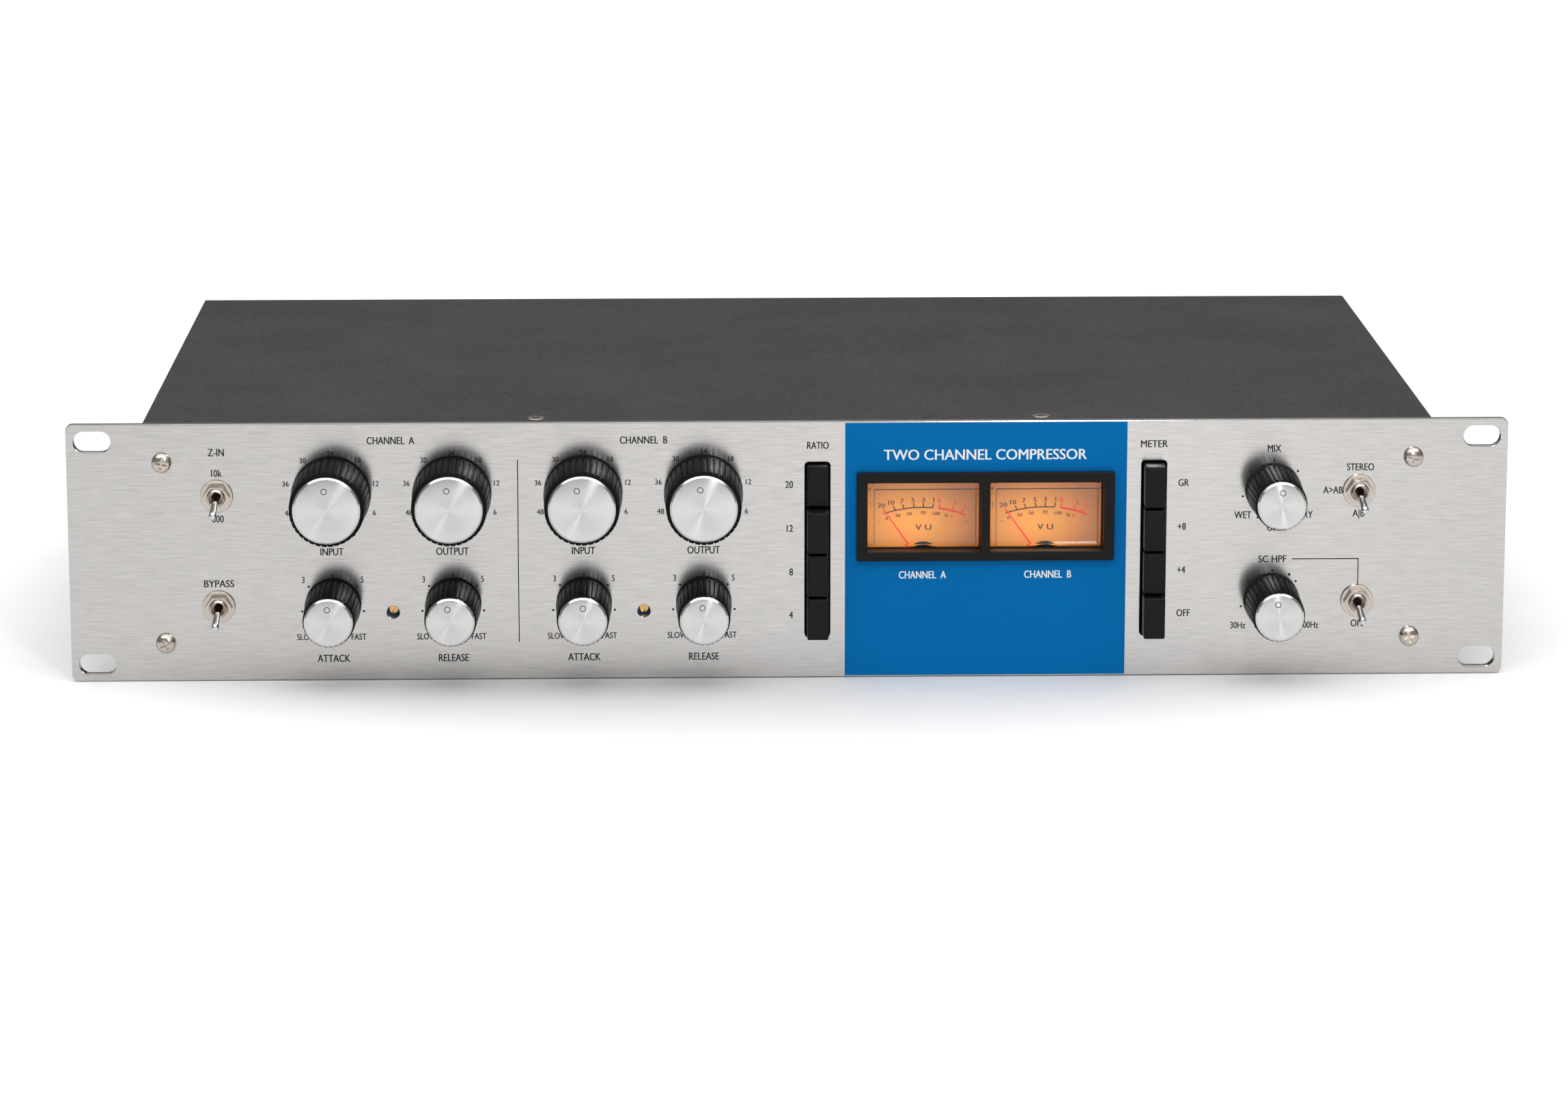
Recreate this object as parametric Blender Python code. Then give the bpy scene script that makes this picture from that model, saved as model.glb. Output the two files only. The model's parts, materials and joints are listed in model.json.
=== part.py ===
"""Two-unit rack compressor: 60 named solids in metres, +Z up, front panel facing -Y.

The origin is at the middle of the object's footprint, on the surface it stands on. Lengths below are in
millimetres. "Depth" runs backwards (+Y) from the front panel's face, so a negative depth is in front of it.
"""

from math import cos, pi, radians, sin, tau

import bmesh
import bpy
from mathutils import Matrix, Vector

MM = 0.001
GAP = 0.3                      # clearance between pieces that touch

# Panel and case
PANEL_W, PANEL_H, PANEL_T = 482.6, 88.0, 3.0
PANEL_CORNER = 2.2
SLOT_PITCH_X, SLOT_PITCH_Z = 465.1, 76.2
SLOT_LENGTH, SLOT_HEIGHT = 12.4, 7.0
CASE_BACK = 233.0              # depth of the cover's rear face
CASE_TOP = 87.3
COVER_HALF_W, COVER_SHEET = 216.2, 1.0
COVER_SIDE_LIP, COVER_REAR_LIP = 14.0, 10.0
TRAY_SHEET = 1.2
FLANGE_INNER_X = 202.0         # inner edge of the tray's front flanges
SCREW_X, SCREW_Z = 209.5, (13.0, 75.0)

# Controls
MID_Z = PANEL_H / 2
UPPER_Z, LOWER_Z = 63.5, 25.5
CHANNEL_X = {"a": -133.2, "b": -49.0}
KNOB_SPREAD = 20.15            # a channel's knobs stand this far either side of its centre line
BLEND_X = 162.7
TOGGLE_X = 191.5
KNOB_REACH = 24.0              # how far the knobs stand in front of the panel
KNOB_BACK = 2.6
LARGE_KNOB = (13.0, 12.4, 11.25, 24)   # base, front and cap radius, and number of flutes
SMALL_KNOB = (9.3, 8.7, 8.15, 20)
CAP_RISE, FLUTE_DEPTH = 1.5, 0.45
SHAFT_R, SHAFT_END = 2.9, 7.5
BUSHING_R, BUSHING_BORE_R, BUSHING_TIP = 3.9, 3.2, 2.2
POT_R, POT_FRONT, BOARD_FRONT, BOARD_T = 8.5, 5.5, 17.0, 1.6
TRIMMER_Z, TRIMMER_HOLE_R, TRIMMER_SIDE, TRIMMER_FRONT = 23.3, 2.1, 7.0, 4.2
TRIMMER_TURN = {"a": 28, "b": -2}      # degrees

# Push buttons
BUTTON_X = {"ratio": 9.35, "meter": 122.35}
BUTTON_PITCH, BUTTON_W, BUTTON_H = 14.9, 7.1, 14.0
BUTTON_LENGTH, STEM_LENGTH, STEM_SIDE = 14.0, 12.0, 3.0
CUTOUT_W, CUTOUT_H = 8.3, 60.2
BANK_FRONT, BANK_BACK, BANK_HALF_W = 12.3, 27.0, 6.2

# Meters
METER_X = {"a": 45.2, "b": 86.4}
BEZEL_W, BEZEL_H, BEZEL_Z, BEZEL_REACH = 86.6, 30.4, 55.5, 2.0
APERTURE_W, APERTURE_H, APERTURE_Z = 38.2, 23.6, 55.3
COLLAR_MARGIN = 1.0
WINDOW_W, WINDOW_H, WINDOW_FRONT = 37.2, 22.6, 3.6
CASE_WALL, METER_CASE_HALF_W, METER_CASE_Z = 0.9, 20.2, (33.0, 69.0)
METER_CASE_FRONT, METER_CASE_BACK, CASE_LIP = 3.3, 34.0, 1.8
DIAL_DEPTH, DIAL_T = 10.0, 0.6
NEEDLE_PIVOT_Z, NEEDLE_LENGTH, NEEDLE_DEPTH = 37.2, 23.4, 7.4
NEEDLE_REST = 35.3             # degrees to the left of upright

# Inside the case
MAIN_BOARD_X, MAIN_BOARD_DEPTH, MAIN_BOARD_Z = (-196.0, 96.0), (70.0, 205.0), (8.0, 9.6)
POST_R, POST_INSET = 3.0, 8.0
CAPACITOR_X, CAPACITOR_DEPTH, CAPACITOR_R, CAPACITOR_TOP = (40.0, 66.0), 110.0, 9.0, 44.0
HEAT_SINK_X, HEAT_SINK_DEPTH, HEAT_SINK_TOP = (30.0, 78.0), (150.0, 156.0), 40.0
TOROID_X, TOROID_DEPTH, TOROID_H = 155.0, 130.0, 40.0
TOROID_R, TOROID_HOLE_R, TOROID_EDGE = 38.0, 9.0, 4.0
SIGNAL_X, SIGNAL_PITCH, SIGNAL_DEPTH = -170.0, 44.0, 178.0
SIGNAL_CORE, SIGNAL_COIL, COIL_LIFT = (28.0, 20.0, 30.0), (18.0, 32.0, 22.0), 4.0

# Rear connectors
REAR_PANEL_BACK = 231.7
PLATE_FRONT = REAR_PANEL_BACK + GAP
INLET_REACH = 2.5
INLET_X, INLET_Z = 168.0, 44.0
INLET_FLANGE, INLET_BODY, INLET_RECESS = (48.0, 22.4), (27.0, 19.6), (24.0, 15.8)
INLET_RECESS_DEPTH, INLET_BODY_DEPTH = 17.0, 23.0
BLADES = ((-7, -2), (0, 2), (7, -2))
XLR_X = {"output_b": -62.0, "input_b": -104.0, "output_a": -146.0, "input_a": -188.0}
XLR_Z = 44.0
XLR_PLATE_W, XLR_PLATE_H, XLR_PLATE_T = 26.0, 31.0, 1.5
XLR_SHELL_R, XLR_BORE_R, XLR_INSERT_R = 11.6, 9.4, 7.6
XLR_SHELL_LENGTH, XLR_BORE_DEPTH = 20.0, 13.0
CONTACT_SPREAD, CONTACT_HOLE_R, CONTACT_PIN_R = 3.3, 1.3, 1.2
CONTACT_ANGLES = (70, 180, 290)

REAR_END = PLATE_FRONT + INLET_REACH
FACE_Y = KNOB_REACH - (KNOB_REACH + REAR_END) / 2   # y of the panel's face: centres the whole object on y = 0

# Where each pointer stands at rest, in degrees clockwise from upright as seen from the front
POINTER_REST = {
    "input_a": -5.6, "output_a": -5.8, "input_b": -13.9, "output_b": -10.2,
    "attack_a": -4.5, "release_a": -10.8, "attack_b": 1.0, "release_b": -7.2,
    "mix": 2.6, "filter": -8.4,
}
# How far each button's face stands in front of the panel at rest
BUTTON_REACH = {
    "ratio_button_20": 3.0, "ratio_button_12": 8.4, "ratio_button_8": 7.9, "ratio_button_4": 8.1,
    "meter_button_gr": 7.3, "meter_button_plus8": 7.2, "meter_button_plus4": 6.6, "meter_button_off": 9.2,
}
TOGGLES = {
    "impedance": (-TOGGLE_X, UPPER_Z), "bypass": (-TOGGLE_X, LOWER_Z),
    "link": (TOGGLE_X, UPPER_Z), "filter": (TOGGLE_X, LOWER_Z),
}
LEVER_PIVOT, LEVER_REACH, LEVER_TILT = 1.8, 15.2, 14.0
WASHER_R, SLEEVE_R, SLEEVE_BORE_R, NUT_CORNER_R = 5.5, 2.9, 2.3, 4.62
SWITCH_HALF_W, SWITCH_HALF_H, SWITCH_BACK = 3.6, 6.4, 13.0
LUG_Z = (-4.7, 0.0, 4.7)


# ---------------------------------------------------------------- outlines in the panel's plane (x, z)

def rounded(x0, z0, x1, z1, radius=0.0, steps=3):
    """A rectangle's outline with its corners turned on a radius."""
    if radius <= 0:
        return [(x0, z0), (x1, z0), (x1, z1), (x0, z1)]
    corners = ((x1 - radius, z0 + radius, -90), (x1 - radius, z1 - radius, 0),
               (x0 + radius, z1 - radius, 90), (x0 + radius, z0 + radius, 180))
    return [(cx + radius * cos(radians(start + 90 * i / steps)),
             cz + radius * sin(radians(start + 90 * i / steps)))
            for cx, cz, start in corners for i in range(steps + 1)]


def centred(cx, cz, width, height, radius=0.0, steps=3):
    """A rounded rectangle about its middle."""
    return rounded(cx - width / 2, cz - height / 2, cx + width / 2, cz + height / 2, radius, steps)


def circle(cx, cz, radius, sides=16):
    """A circle's outline."""
    return [(cx + radius * cos(tau * i / sides), cz + radius * sin(tau * i / sides)) for i in range(sides)]


# ---------------------------------------------------------------- meshes

def prism(loops, near, far):
    """An upright plate between two depths: the first loop is its outline and the others are holes."""
    bm = bmesh.new()
    edges = []
    for loop in loops:
        verts = [bm.verts.new((x * MM, near * MM, z * MM)) for x, z in loop]
        edges += [bm.edges.new((verts[i - 1], verts[i])) for i in range(len(verts))]
    bmesh.ops.triangle_fill(bm, use_beauty=True, edges=edges)
    front = bm.faces[:]
    copied = bmesh.ops.duplicate(bm, geom=front)
    back = [item for item in copied["geom"] if isinstance(item, bmesh.types.BMVert)]
    bmesh.ops.translate(bm, verts=back, vec=(0, (far - near) * MM, 0))
    rims = [edge for edge in bm.edges if edge.is_boundary]
    wall_up(bm, rims, (far - near) * MM)
    bmesh.ops.recalc_face_normals(bm, faces=bm.faces)
    return bm


def wall_up(bm, rims, thickness):
    """Close the sides of a plate with holes: each front rim edge is joined to the one straight behind it."""
    def key(co):
        return round(co.x, 7), round(co.z, 7)

    limit = min(edge.verts[0].co.y for edge in rims) + thickness / 2
    behind = {key(v.co): v for edge in rims for v in edge.verts if v.co.y > limit}
    for edge in rims:
        a, b = edge.verts
        if a.co.y < limit:
            bm.faces.new((a, b, behind[key(b.co)], behind[key(a.co)]))


def box(x, depth, z):
    """A plain block from three (low, high) pairs."""
    return prism([rounded(x[0], z[0], x[1], z[1])], depth[0], depth[1])


def standing(x, depth, low, size):
    """A block of a given (width, depth, height) that stands on a level."""
    width, length, height = size
    return box((x - width / 2, x + width / 2), (depth - length / 2, depth + length / 2), (low, low + height))


def turned(profile, sides, axis="Y"):
    """A solid of revolution: (radius, along) points from one end of the axis to the other."""
    bm = bmesh.new()
    verts = [bm.verts.new((radius * MM, along * MM, 0)) for radius, along in profile]
    edges = [bm.edges.new(pair) for pair in zip(verts, verts[1:])]
    bmesh.ops.spin(bm, geom=verts + edges, cent=(0, 0, 0), axis=(0, 1, 0), angle=tau, steps=sides,
                   use_merge=True)
    bmesh.ops.remove_doubles(bm, verts=bm.verts, dist=0.001 * MM)
    if axis == "Z":
        bmesh.ops.rotate(bm, verts=bm.verts, matrix=Matrix.Rotation(pi / 2, 3, "X"))
    bmesh.ops.recalc_face_normals(bm, faces=bm.faces)
    return bm


def lofted(rings):
    """A closed solid through rings of equally many points (x, depth, z)."""
    bm = bmesh.new()
    loops = [[bm.verts.new(Vector(point) * MM) for point in ring] for ring in rings]
    for one, two in zip(loops, loops[1:]):
        for i in range(len(one)):
            bm.faces.new((one[i - 1], one[i], two[i], two[i - 1]))
    bm.faces.new(loops[0])
    bm.faces.new(loops[-1])
    bmesh.ops.recalc_face_normals(bm, faces=bm.faces)
    return bm


# ---------------------------------------------------------------- objects

def finish(name, colour, roughness, metallic=0.0):
    """A Principled material."""
    mat = bpy.data.materials.new(name)
    mat.use_nodes = True
    shader = mat.node_tree.nodes["Principled BSDF"]
    shader.inputs["Base Color"].default_value = (*colour, 1.0)
    shader.inputs["Roughness"].default_value = roughness
    shader.inputs["Metallic"].default_value = metallic
    mat.diffuse_color = (*colour, 1.0)
    return mat


def place(name, bm, mat, at=(0, 0, 0), turn=(0, 0, 0), smooth=False):
    """Put a mesh in the scene as an object at a point given as (x, depth, z) in millimetres."""
    mesh = bpy.data.meshes.new(name)
    bm.to_mesh(mesh)
    bm.free()
    if smooth:
        mesh.shade_smooth()
        mesh.set_sharp_from_angle(angle=radians(35))
    item = bpy.data.objects.new(name, mesh)
    item.location = (at[0] * MM, (FACE_Y + at[1]) * MM, at[2] * MM)
    item.rotation_euler = turn
    if mat:
        mesh.materials.append(mat)
    bpy.context.collection.objects.link(item)
    return item


def combine(target, bm, operation, at=(0, 0, 0), turn=(0, 0, 0)):
    """Join a mesh to an object or cut it out of it; the mesh stays as a hidden wire tool."""
    count = len(target.modifiers) + 1
    tool = place(f"tool_{target.name}_{count}", bm, None, at, turn)
    tool.hide_render = True
    tool.display_type = "WIRE"
    modifier = target.modifiers.new(f"{operation.lower()}_{count}", "BOOLEAN")
    modifier.operation = operation
    modifier.solver = "EXACT"
    modifier.object = tool
    return target


# ---------------------------------------------------------------- case

def front_panel(mat):
    """The aluminium plate with its rack slots and every hole behind the controls."""
    half = PANEL_W / 2
    loops = [rounded(-half, 0, half, PANEL_H, PANEL_CORNER)]
    for x in (-SLOT_PITCH_X / 2, SLOT_PITCH_X / 2):
        for z in (MID_Z - SLOT_PITCH_Z / 2, MID_Z + SLOT_PITCH_Z / 2):
            loops.append(centred(x, z, SLOT_LENGTH, SLOT_HEIGHT, SLOT_HEIGHT / 2 - 0.01, 5))
    loops += [circle(x, z, BUSHING_R + 0.4) for x, z in knob_places().values()]
    loops += [circle(x, z, 3.3, 12) for x, z in TOGGLES.values()]
    loops += [circle(x, TRIMMER_Z, TRIMMER_HOLE_R, 14) for x in CHANNEL_X.values()]
    loops += [circle(x, z, 2.2, 10) for x in (-SCREW_X, SCREW_X) for z in SCREW_Z]
    loops += [centred(x, MID_Z, CUTOUT_W, CUTOUT_H, 1.2) for x in BUTTON_X.values()]
    loops.append(centred(bezel_x(), APERTURE_Z, collar_width() + 2 * GAP, collar_height() + 2 * GAP, 0.8, 2))
    return place("front_panel", prism(loops, 0, PANEL_T), mat)


def panel_screws(mat):
    """Pan-head screws with a cross recess that hold the panel to the tray's flanges."""
    for side, x in (("left", -SCREW_X), ("right", SCREW_X)):
        for level, z in zip(("lower", "upper"), SCREW_Z):
            profile = [(0, -2.5), (1.9, -2.4), (3.1, -1.7), (3.45, -GAP), (1.9, -GAP), (1.9, 9.0), (0, 9.6)]
            screw = place(f"panel_screw_{side}_{level}", turned(profile, 16), mat, (x, 0, z), smooth=True)
            for quarter in (0, 1):
                slit = box((-1.9, 1.9), (-3.5, -1.3), (-0.35, 0.35))
                combine(screw, slit, "DIFFERENCE", (x, 0, z), (0, pi / 2 * quarter + radians(20), 0))


def chassis_tray(mat):
    """Folded steel tray: bottom, two sides, and front flanges with clearance holes for the panel screws."""
    outer = COVER_HALF_W - COVER_SHEET - GAP
    inner = outer - TRAY_SHEET
    front = PANEL_T + GAP
    tray = place("chassis_tray", box((-outer, outer), (front, REAR_PANEL_BACK), (0, CASE_TOP - 1.3)), mat)
    cavity = box((-inner, inner), (front + TRAY_SHEET, CASE_BACK + 9), (TRAY_SHEET, CASE_TOP + 9))
    window = box((-FLANGE_INNER_X, FLANGE_INNER_X), (front - 5, front + 5), (3.0, CASE_TOP + 9))
    combine(tray, cavity, "DIFFERENCE")
    combine(tray, window, "DIFFERENCE")
    for x in (-SCREW_X, SCREW_X):
        for z in SCREW_Z:
            combine(tray, prism([circle(x, z, 2.3, 10)], front - 2, front + 3), "DIFFERENCE")
    return tray


def top_cover(mat):
    """Folded lid whose side and rear lips lap over the tray."""
    front, inner = PANEL_T + GAP, COVER_HALF_W - COVER_SHEET
    top = CASE_TOP - COVER_SHEET
    bm = box((-COVER_HALF_W, COVER_HALF_W), (front, CASE_BACK), (CASE_TOP - COVER_SIDE_LIP, CASE_TOP))
    upright = [edge for edge in bm.edges
               if abs(edge.verts[0].co.z - edge.verts[1].co.z) > 5 * MM and edge.verts[0].co.y > 100 * MM]
    bmesh.ops.bevel(bm, geom=upright, offset=0.9 * MM, segments=2, affect="EDGES", profile=0.5)
    cover = place("top_cover", bm, mat)
    hollow = box((-inner, inner), (front - 9, CASE_BACK - COVER_SHEET), (0, top))
    below_rear = box((-inner, inner), (CASE_BACK - 5, CASE_BACK + 5), (0, CASE_TOP - COVER_REAR_LIP))
    combine(cover, hollow, "DIFFERENCE")
    combine(cover, below_rear, "DIFFERENCE")
    return cover


def rear_panel(mat):
    """Steel sheet between the tray's sides with cut-outs for the connectors."""
    half = COVER_HALF_W - COVER_SHEET - GAP - TRAY_SHEET - GAP
    loops = [rounded(-half, TRAY_SHEET + GAP, half, CASE_TOP - 1.3)]
    loops += [circle(x, XLR_Z, 12.0, 20) for x in XLR_X.values()]
    loops.append(centred(INLET_X, INLET_Z, 27.6, 20.2))
    return place("rear_panel", prism(loops, REAR_PANEL_BACK - TRAY_SHEET, REAR_PANEL_BACK), mat)


# ---------------------------------------------------------------- knobs, potentiometers and trimmers

def knob_places():
    """Each knob's name and its axis in the panel's plane."""
    spots = {}
    for channel, x in CHANNEL_X.items():
        spots[f"input_{channel}"] = (x - KNOB_SPREAD, UPPER_Z)
        spots[f"output_{channel}"] = (x + KNOB_SPREAD, UPPER_Z)
        spots[f"attack_{channel}"] = (x - KNOB_SPREAD, LOWER_Z)
        spots[f"release_{channel}"] = (x + KNOB_SPREAD, LOWER_Z)
    spots["mix"] = (BLEND_X, UPPER_Z)
    spots["filter"] = (BLEND_X, LOWER_Z)
    return spots


def fluted_ring(radius, depth, flutes, groove):
    """A ring of points whose radius dips at each flute."""
    points = []
    for i in range(2 * flutes):
        angle = tau * i / (2 * flutes)
        r = radius - (groove if i % 2 else 0.0)
        points.append((r * sin(angle), depth, r * cos(angle)))
    return points


def knob_body(base_r, front_r, cap_r, flutes):
    """A fluted, slightly tapered knob with a plain cap that stands proud of it."""
    shoulder = KNOB_REACH - CAP_RISE
    return lofted([
        fluted_ring(cap_r, -KNOB_REACH, flutes, 0),
        fluted_ring(cap_r, -shoulder, flutes, 0),
        fluted_ring(front_r, -shoulder, flutes, FLUTE_DEPTH),
        fluted_ring(base_r, -KNOB_BACK, flutes, FLUTE_DEPTH),
    ])


def knobs(mat):
    """Ten knobs, each with its shaft reaching through the panel into its potentiometer."""
    root = -KNOB_BACK - 3
    for name, (x, z) in knob_places().items():
        sizes = LARGE_KNOB if name.startswith(("input", "output")) else SMALL_KNOB
        turn = (0, radians(POINTER_REST[name]), 0)
        knob = place(f"knob_{name}", knob_body(*sizes), mat, (x, 0, z), turn)
        shaft = turned([(0, root), (SHAFT_R, root), (SHAFT_R, SHAFT_END), (0, SHAFT_END)], 12)
        combine(knob, shaft, "UNION", (x, 0, z), turn)


def potentiometer():
    """Housing and threaded bushing, bored for the shaft."""
    return turned([(0, BOARD_FRONT + 0.5), (POT_R, BOARD_FRONT + 0.5), (POT_R, POT_FRONT),
                   (BUSHING_R, POT_FRONT), (BUSHING_R, -BUSHING_TIP), (BUSHING_BORE_R, -BUSHING_TIP),
                   (BUSHING_BORE_R, SHAFT_END + 0.6), (0, SHAFT_END + 0.6)], 16)


def trimmer_body(x):
    """Trimmer housing in two parts: a front with a round pocket for the adjusting screw, and a solid back."""
    outline = centred(x, TRIMMER_Z, TRIMMER_SIDE, TRIMMER_SIDE)
    pocket_end = TRIMMER_FRONT + 2.8
    front = prism([outline, circle(x, TRIMMER_Z, 1.9, 12)], TRIMMER_FRONT, pocket_end)
    return front, prism([outline], pocket_end - 0.1, BOARD_FRONT + 0.5)


def control_board(mat):
    """The board behind both channels' knobs, with eight potentiometers and two trimmers."""
    left = CHANNEL_X["a"] - KNOB_SPREAD - 14
    right = CHANNEL_X["b"] + KNOB_SPREAD + 14
    board = place("control_board", box((left, right), (BOARD_FRONT, BOARD_FRONT + BOARD_T), (9, 79)), mat)
    for name, (x, z) in knob_places().items():
        if x < 0:
            combine(board, potentiometer(), "UNION", (x, 0, z))
    for x in CHANNEL_X.values():
        for part in trimmer_body(x):
            combine(board, part, "UNION")
    return board


def blend_board(mat):
    """The small board behind the mix and filter knobs."""
    board = place("blend_board", box((BLEND_X - 13, BLEND_X + 13), (BOARD_FRONT, BOARD_FRONT + BOARD_T),
                                     (9, 79)), mat)
    for z in (UPPER_Z, LOWER_Z):
        combine(board, potentiometer(), "UNION", (BLEND_X, 0, z))
    return board


def trimmer_screws(mat):
    """Slotted adjusting screws that turn in the trimmers' pockets."""
    for channel, x in CHANNEL_X.items():
        at = (x, 0, TRIMMER_Z)
        turn = (0, radians(TRIMMER_TURN[channel]), 0)
        profile = [(0, 4.0), (1.5, 4.0), (1.6, 4.2), (1.6, 6.5), (0, 6.5)]
        screw = place(f"trimmer_screw_{channel}", turned(profile, 14), mat, at, turn)
        combine(screw, box((-0.28, 0.28), (3.0, 4.8), (-3, 3)), "DIFFERENCE", at, turn)


# ---------------------------------------------------------------- toggle switches

def toggles(metal, lever_mat):
    """Four miniature toggle switches: washer, nut, bushing and body as one piece, and a tilting lever."""
    sleeve = [(0, 5.0), (SLEEVE_R, 5.0), (SLEEVE_R, -GAP), (WASHER_R, -GAP), (WASHER_R, -0.9),
              (SLEEVE_R, -0.9), (SLEEVE_R, -4.1), (SLEEVE_BORE_R, -4.3), (SLEEVE_BORE_R, 1.4), (0, 1.4)]
    tip = LEVER_PIVOT - LEVER_REACH
    lever = [(0, 1.6), (1.0, 1.2), (1.55, 0.0), (1.15, -1.3), (1.0, -3.0), (1.3, tip + 2.4),
             (1.3, tip + 1.0), (0.85, tip + 0.3), (0, tip)]
    for name, (x, z) in TOGGLES.items():
        at = (x, 0, z)
        switch = place(f"switch_{name}", turned(sleeve, 20), metal, at)
        nut = prism([circle(0, 0, NUT_CORNER_R, 6), circle(0, 0, SLEEVE_R - GAP, 12)], -3.0, -0.7)
        body = box((-SWITCH_HALF_W, SWITCH_HALF_W), (PANEL_T + GAP, SWITCH_BACK),
                   (-SWITCH_HALF_H, SWITCH_HALF_H))
        combine(switch, nut, "UNION", at)
        combine(switch, body, "UNION", at)
        for lug in LUG_Z:
            blade = box((-0.4, 0.4), (SWITCH_BACK - 0.5, SWITCH_BACK + 4.0), (lug - 1.0, lug + 1.0))
            combine(switch, blade, "UNION", at)
        place(f"lever_{name}", turned(lever, 12), lever_mat, (x, -LEVER_PIVOT, z),
              (radians(LEVER_TILT), 0, 0), smooth=True)


# ---------------------------------------------------------------- push buttons

def button_z(index):
    """The height of a column's button, counted from the top."""
    return MID_Z + (1.5 - index) * BUTTON_PITCH


def push_buttons(mat):
    """Eight buttons, each a plain cap with rounded edges on a square stem that slides in its bank."""
    for index, (name, reach) in enumerate(BUTTON_REACH.items()):
        column = name.split("_")[0]
        at = (BUTTON_X[column], -reach, button_z(index % 4))
        bm = box((-BUTTON_W / 2, BUTTON_W / 2), (0, BUTTON_LENGTH), (-BUTTON_H / 2, BUTTON_H / 2))
        bmesh.ops.bevel(bm, geom=[edge for edge in bm.edges if max(v.co.y for v in edge.verts) < MM],
                        offset=0.6 * MM, segments=2, affect="EDGES", profile=0.5)
        button = place(name, bm, mat, at)
        half = STEM_SIDE / 2
        stem = box((-half, half), (BUTTON_LENGTH - 1, BUTTON_LENGTH + STEM_LENGTH), (-half, half))
        combine(button, stem, "UNION", at)


def switch_banks(mat):
    """Two four-way latching banks with a pocket for each stem."""
    for column, x in BUTTON_X.items():
        loops = [centred(x, MID_Z, 2 * BANK_HALF_W, 4 * BUTTON_PITCH)]
        loops += [centred(x, button_z(i), STEM_SIDE + 1.2, STEM_SIDE + 1.2) for i in range(4)]
        bank = place(f"{column}_switch_bank", prism(loops, BANK_FRONT, BANK_BACK - 0.1), mat)
        back = box((x - BANK_HALF_W, x + BANK_HALF_W), (BANK_BACK - 0.2, BANK_BACK + 2.0),
                   (MID_Z - 2 * BUTTON_PITCH, MID_Z + 2 * BUTTON_PITCH))
        combine(bank, back, "UNION")


# ---------------------------------------------------------------- meters

def bezel_x():
    """The middle of the pair of meters."""
    return sum(METER_X.values()) / 2


def collar_width():
    """Width of the bezel's collar in the panel's cut-out."""
    return METER_X["b"] - METER_X["a"] + APERTURE_W + 2 * COLLAR_MARGIN


def collar_height():
    """Height of the bezel's collar in the panel's cut-out."""
    return APERTURE_H + 2 * COLLAR_MARGIN


def meter_bezel(mat):
    """Black frame in front of the panel, with a collar through it and one aperture for each meter."""
    bezel = place("meter_bezel", prism([centred(bezel_x(), BEZEL_Z, BEZEL_W, BEZEL_H, 0.5, 2)],
                                       -BEZEL_REACH, -GAP), mat)
    collar = prism([centred(bezel_x(), APERTURE_Z, collar_width(), collar_height(), 0.6, 2)], -1.0, 2.8)
    combine(bezel, collar, "UNION")
    for x in METER_X.values():
        hole = prism([centred(x, APERTURE_Z, APERTURE_W, APERTURE_H, 0.4, 2)], -5, 8)
        combine(bezel, hole, "DIFFERENCE")
    return bezel


def meter_cases(mat):
    """Open-fronted boxes behind the panel that hold each meter's window, dial and movement."""
    low, high = METER_CASE_Z
    for channel, x in METER_X.items():
        outer = box((x - METER_CASE_HALF_W, x + METER_CASE_HALF_W), (METER_CASE_FRONT, METER_CASE_BACK),
                    (low, high))
        case = place(f"meter_case_{channel}", outer, mat)
        inner_half = METER_CASE_HALF_W - CASE_WALL
        cavity = box((x - inner_half, x + inner_half), (METER_CASE_FRONT + CASE_LIP, METER_CASE_BACK - 1.5),
                     (low + CASE_WALL, high - CASE_WALL))
        mouth = prism([centred(x, APERTURE_Z, WINDOW_W + 2 * GAP, WINDOW_H + 2 * GAP)], 0, 8)
        combine(case, cavity, "DIFFERENCE")
        combine(case, mouth, "DIFFERENCE")


def meter_windows(mat):
    """Clear moulded windows: a raised pane with a stepped rim and a flange behind the case's lip."""
    step = 0.8
    flange_w, flange_h = WINDOW_W + step, WINDOW_H + 3 * step
    back = METER_CASE_FRONT + CASE_LIP + GAP
    rings = ((WINDOW_FRONT, WINDOW_W - 2 * step, WINDOW_H - 2 * step), (WINDOW_FRONT + step, WINDOW_W, WINDOW_H),
             (back, WINDOW_W, WINDOW_H), (back, flange_w, flange_h), (back + step, flange_w, flange_h))
    for channel, x in METER_X.items():
        pane = lofted([[(px, depth, pz) for px, pz in centred(x, APERTURE_Z, width, height, step, 2)]
                       for depth, width, height in rings])
        place(f"meter_window_{channel}", pane, mat)


def meter_dials(mat):
    """Dial plates with the pivot's cover and the pin that the needle turns on."""
    low, high = METER_CASE_Z
    half = METER_CASE_HALF_W - CASE_WALL - GAP
    for channel, x in METER_X.items():
        plate = box((x - half, x + half), (DIAL_DEPTH, DIAL_DEPTH + DIAL_T),
                    (low + CASE_WALL + GAP, high - CASE_WALL - GAP))
        dial = place(f"meter_dial_{channel}", plate, mat)
        pivot = turned([(0, DIAL_DEPTH + 0.3), (3.1, DIAL_DEPTH + 0.3), (3.1, 8.4), (0.7, 8.4), (0.7, 6.9),
                        (0, 6.9)], 16)
        combine(dial, pivot, "UNION", (x, 0, NEEDLE_PIVOT_Z))
        movement = box((-9, 9), (DIAL_DEPTH + 0.5, 24), (-2.5, 9))
        combine(dial, movement, "UNION", (x, 0, NEEDLE_PIVOT_Z))


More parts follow.
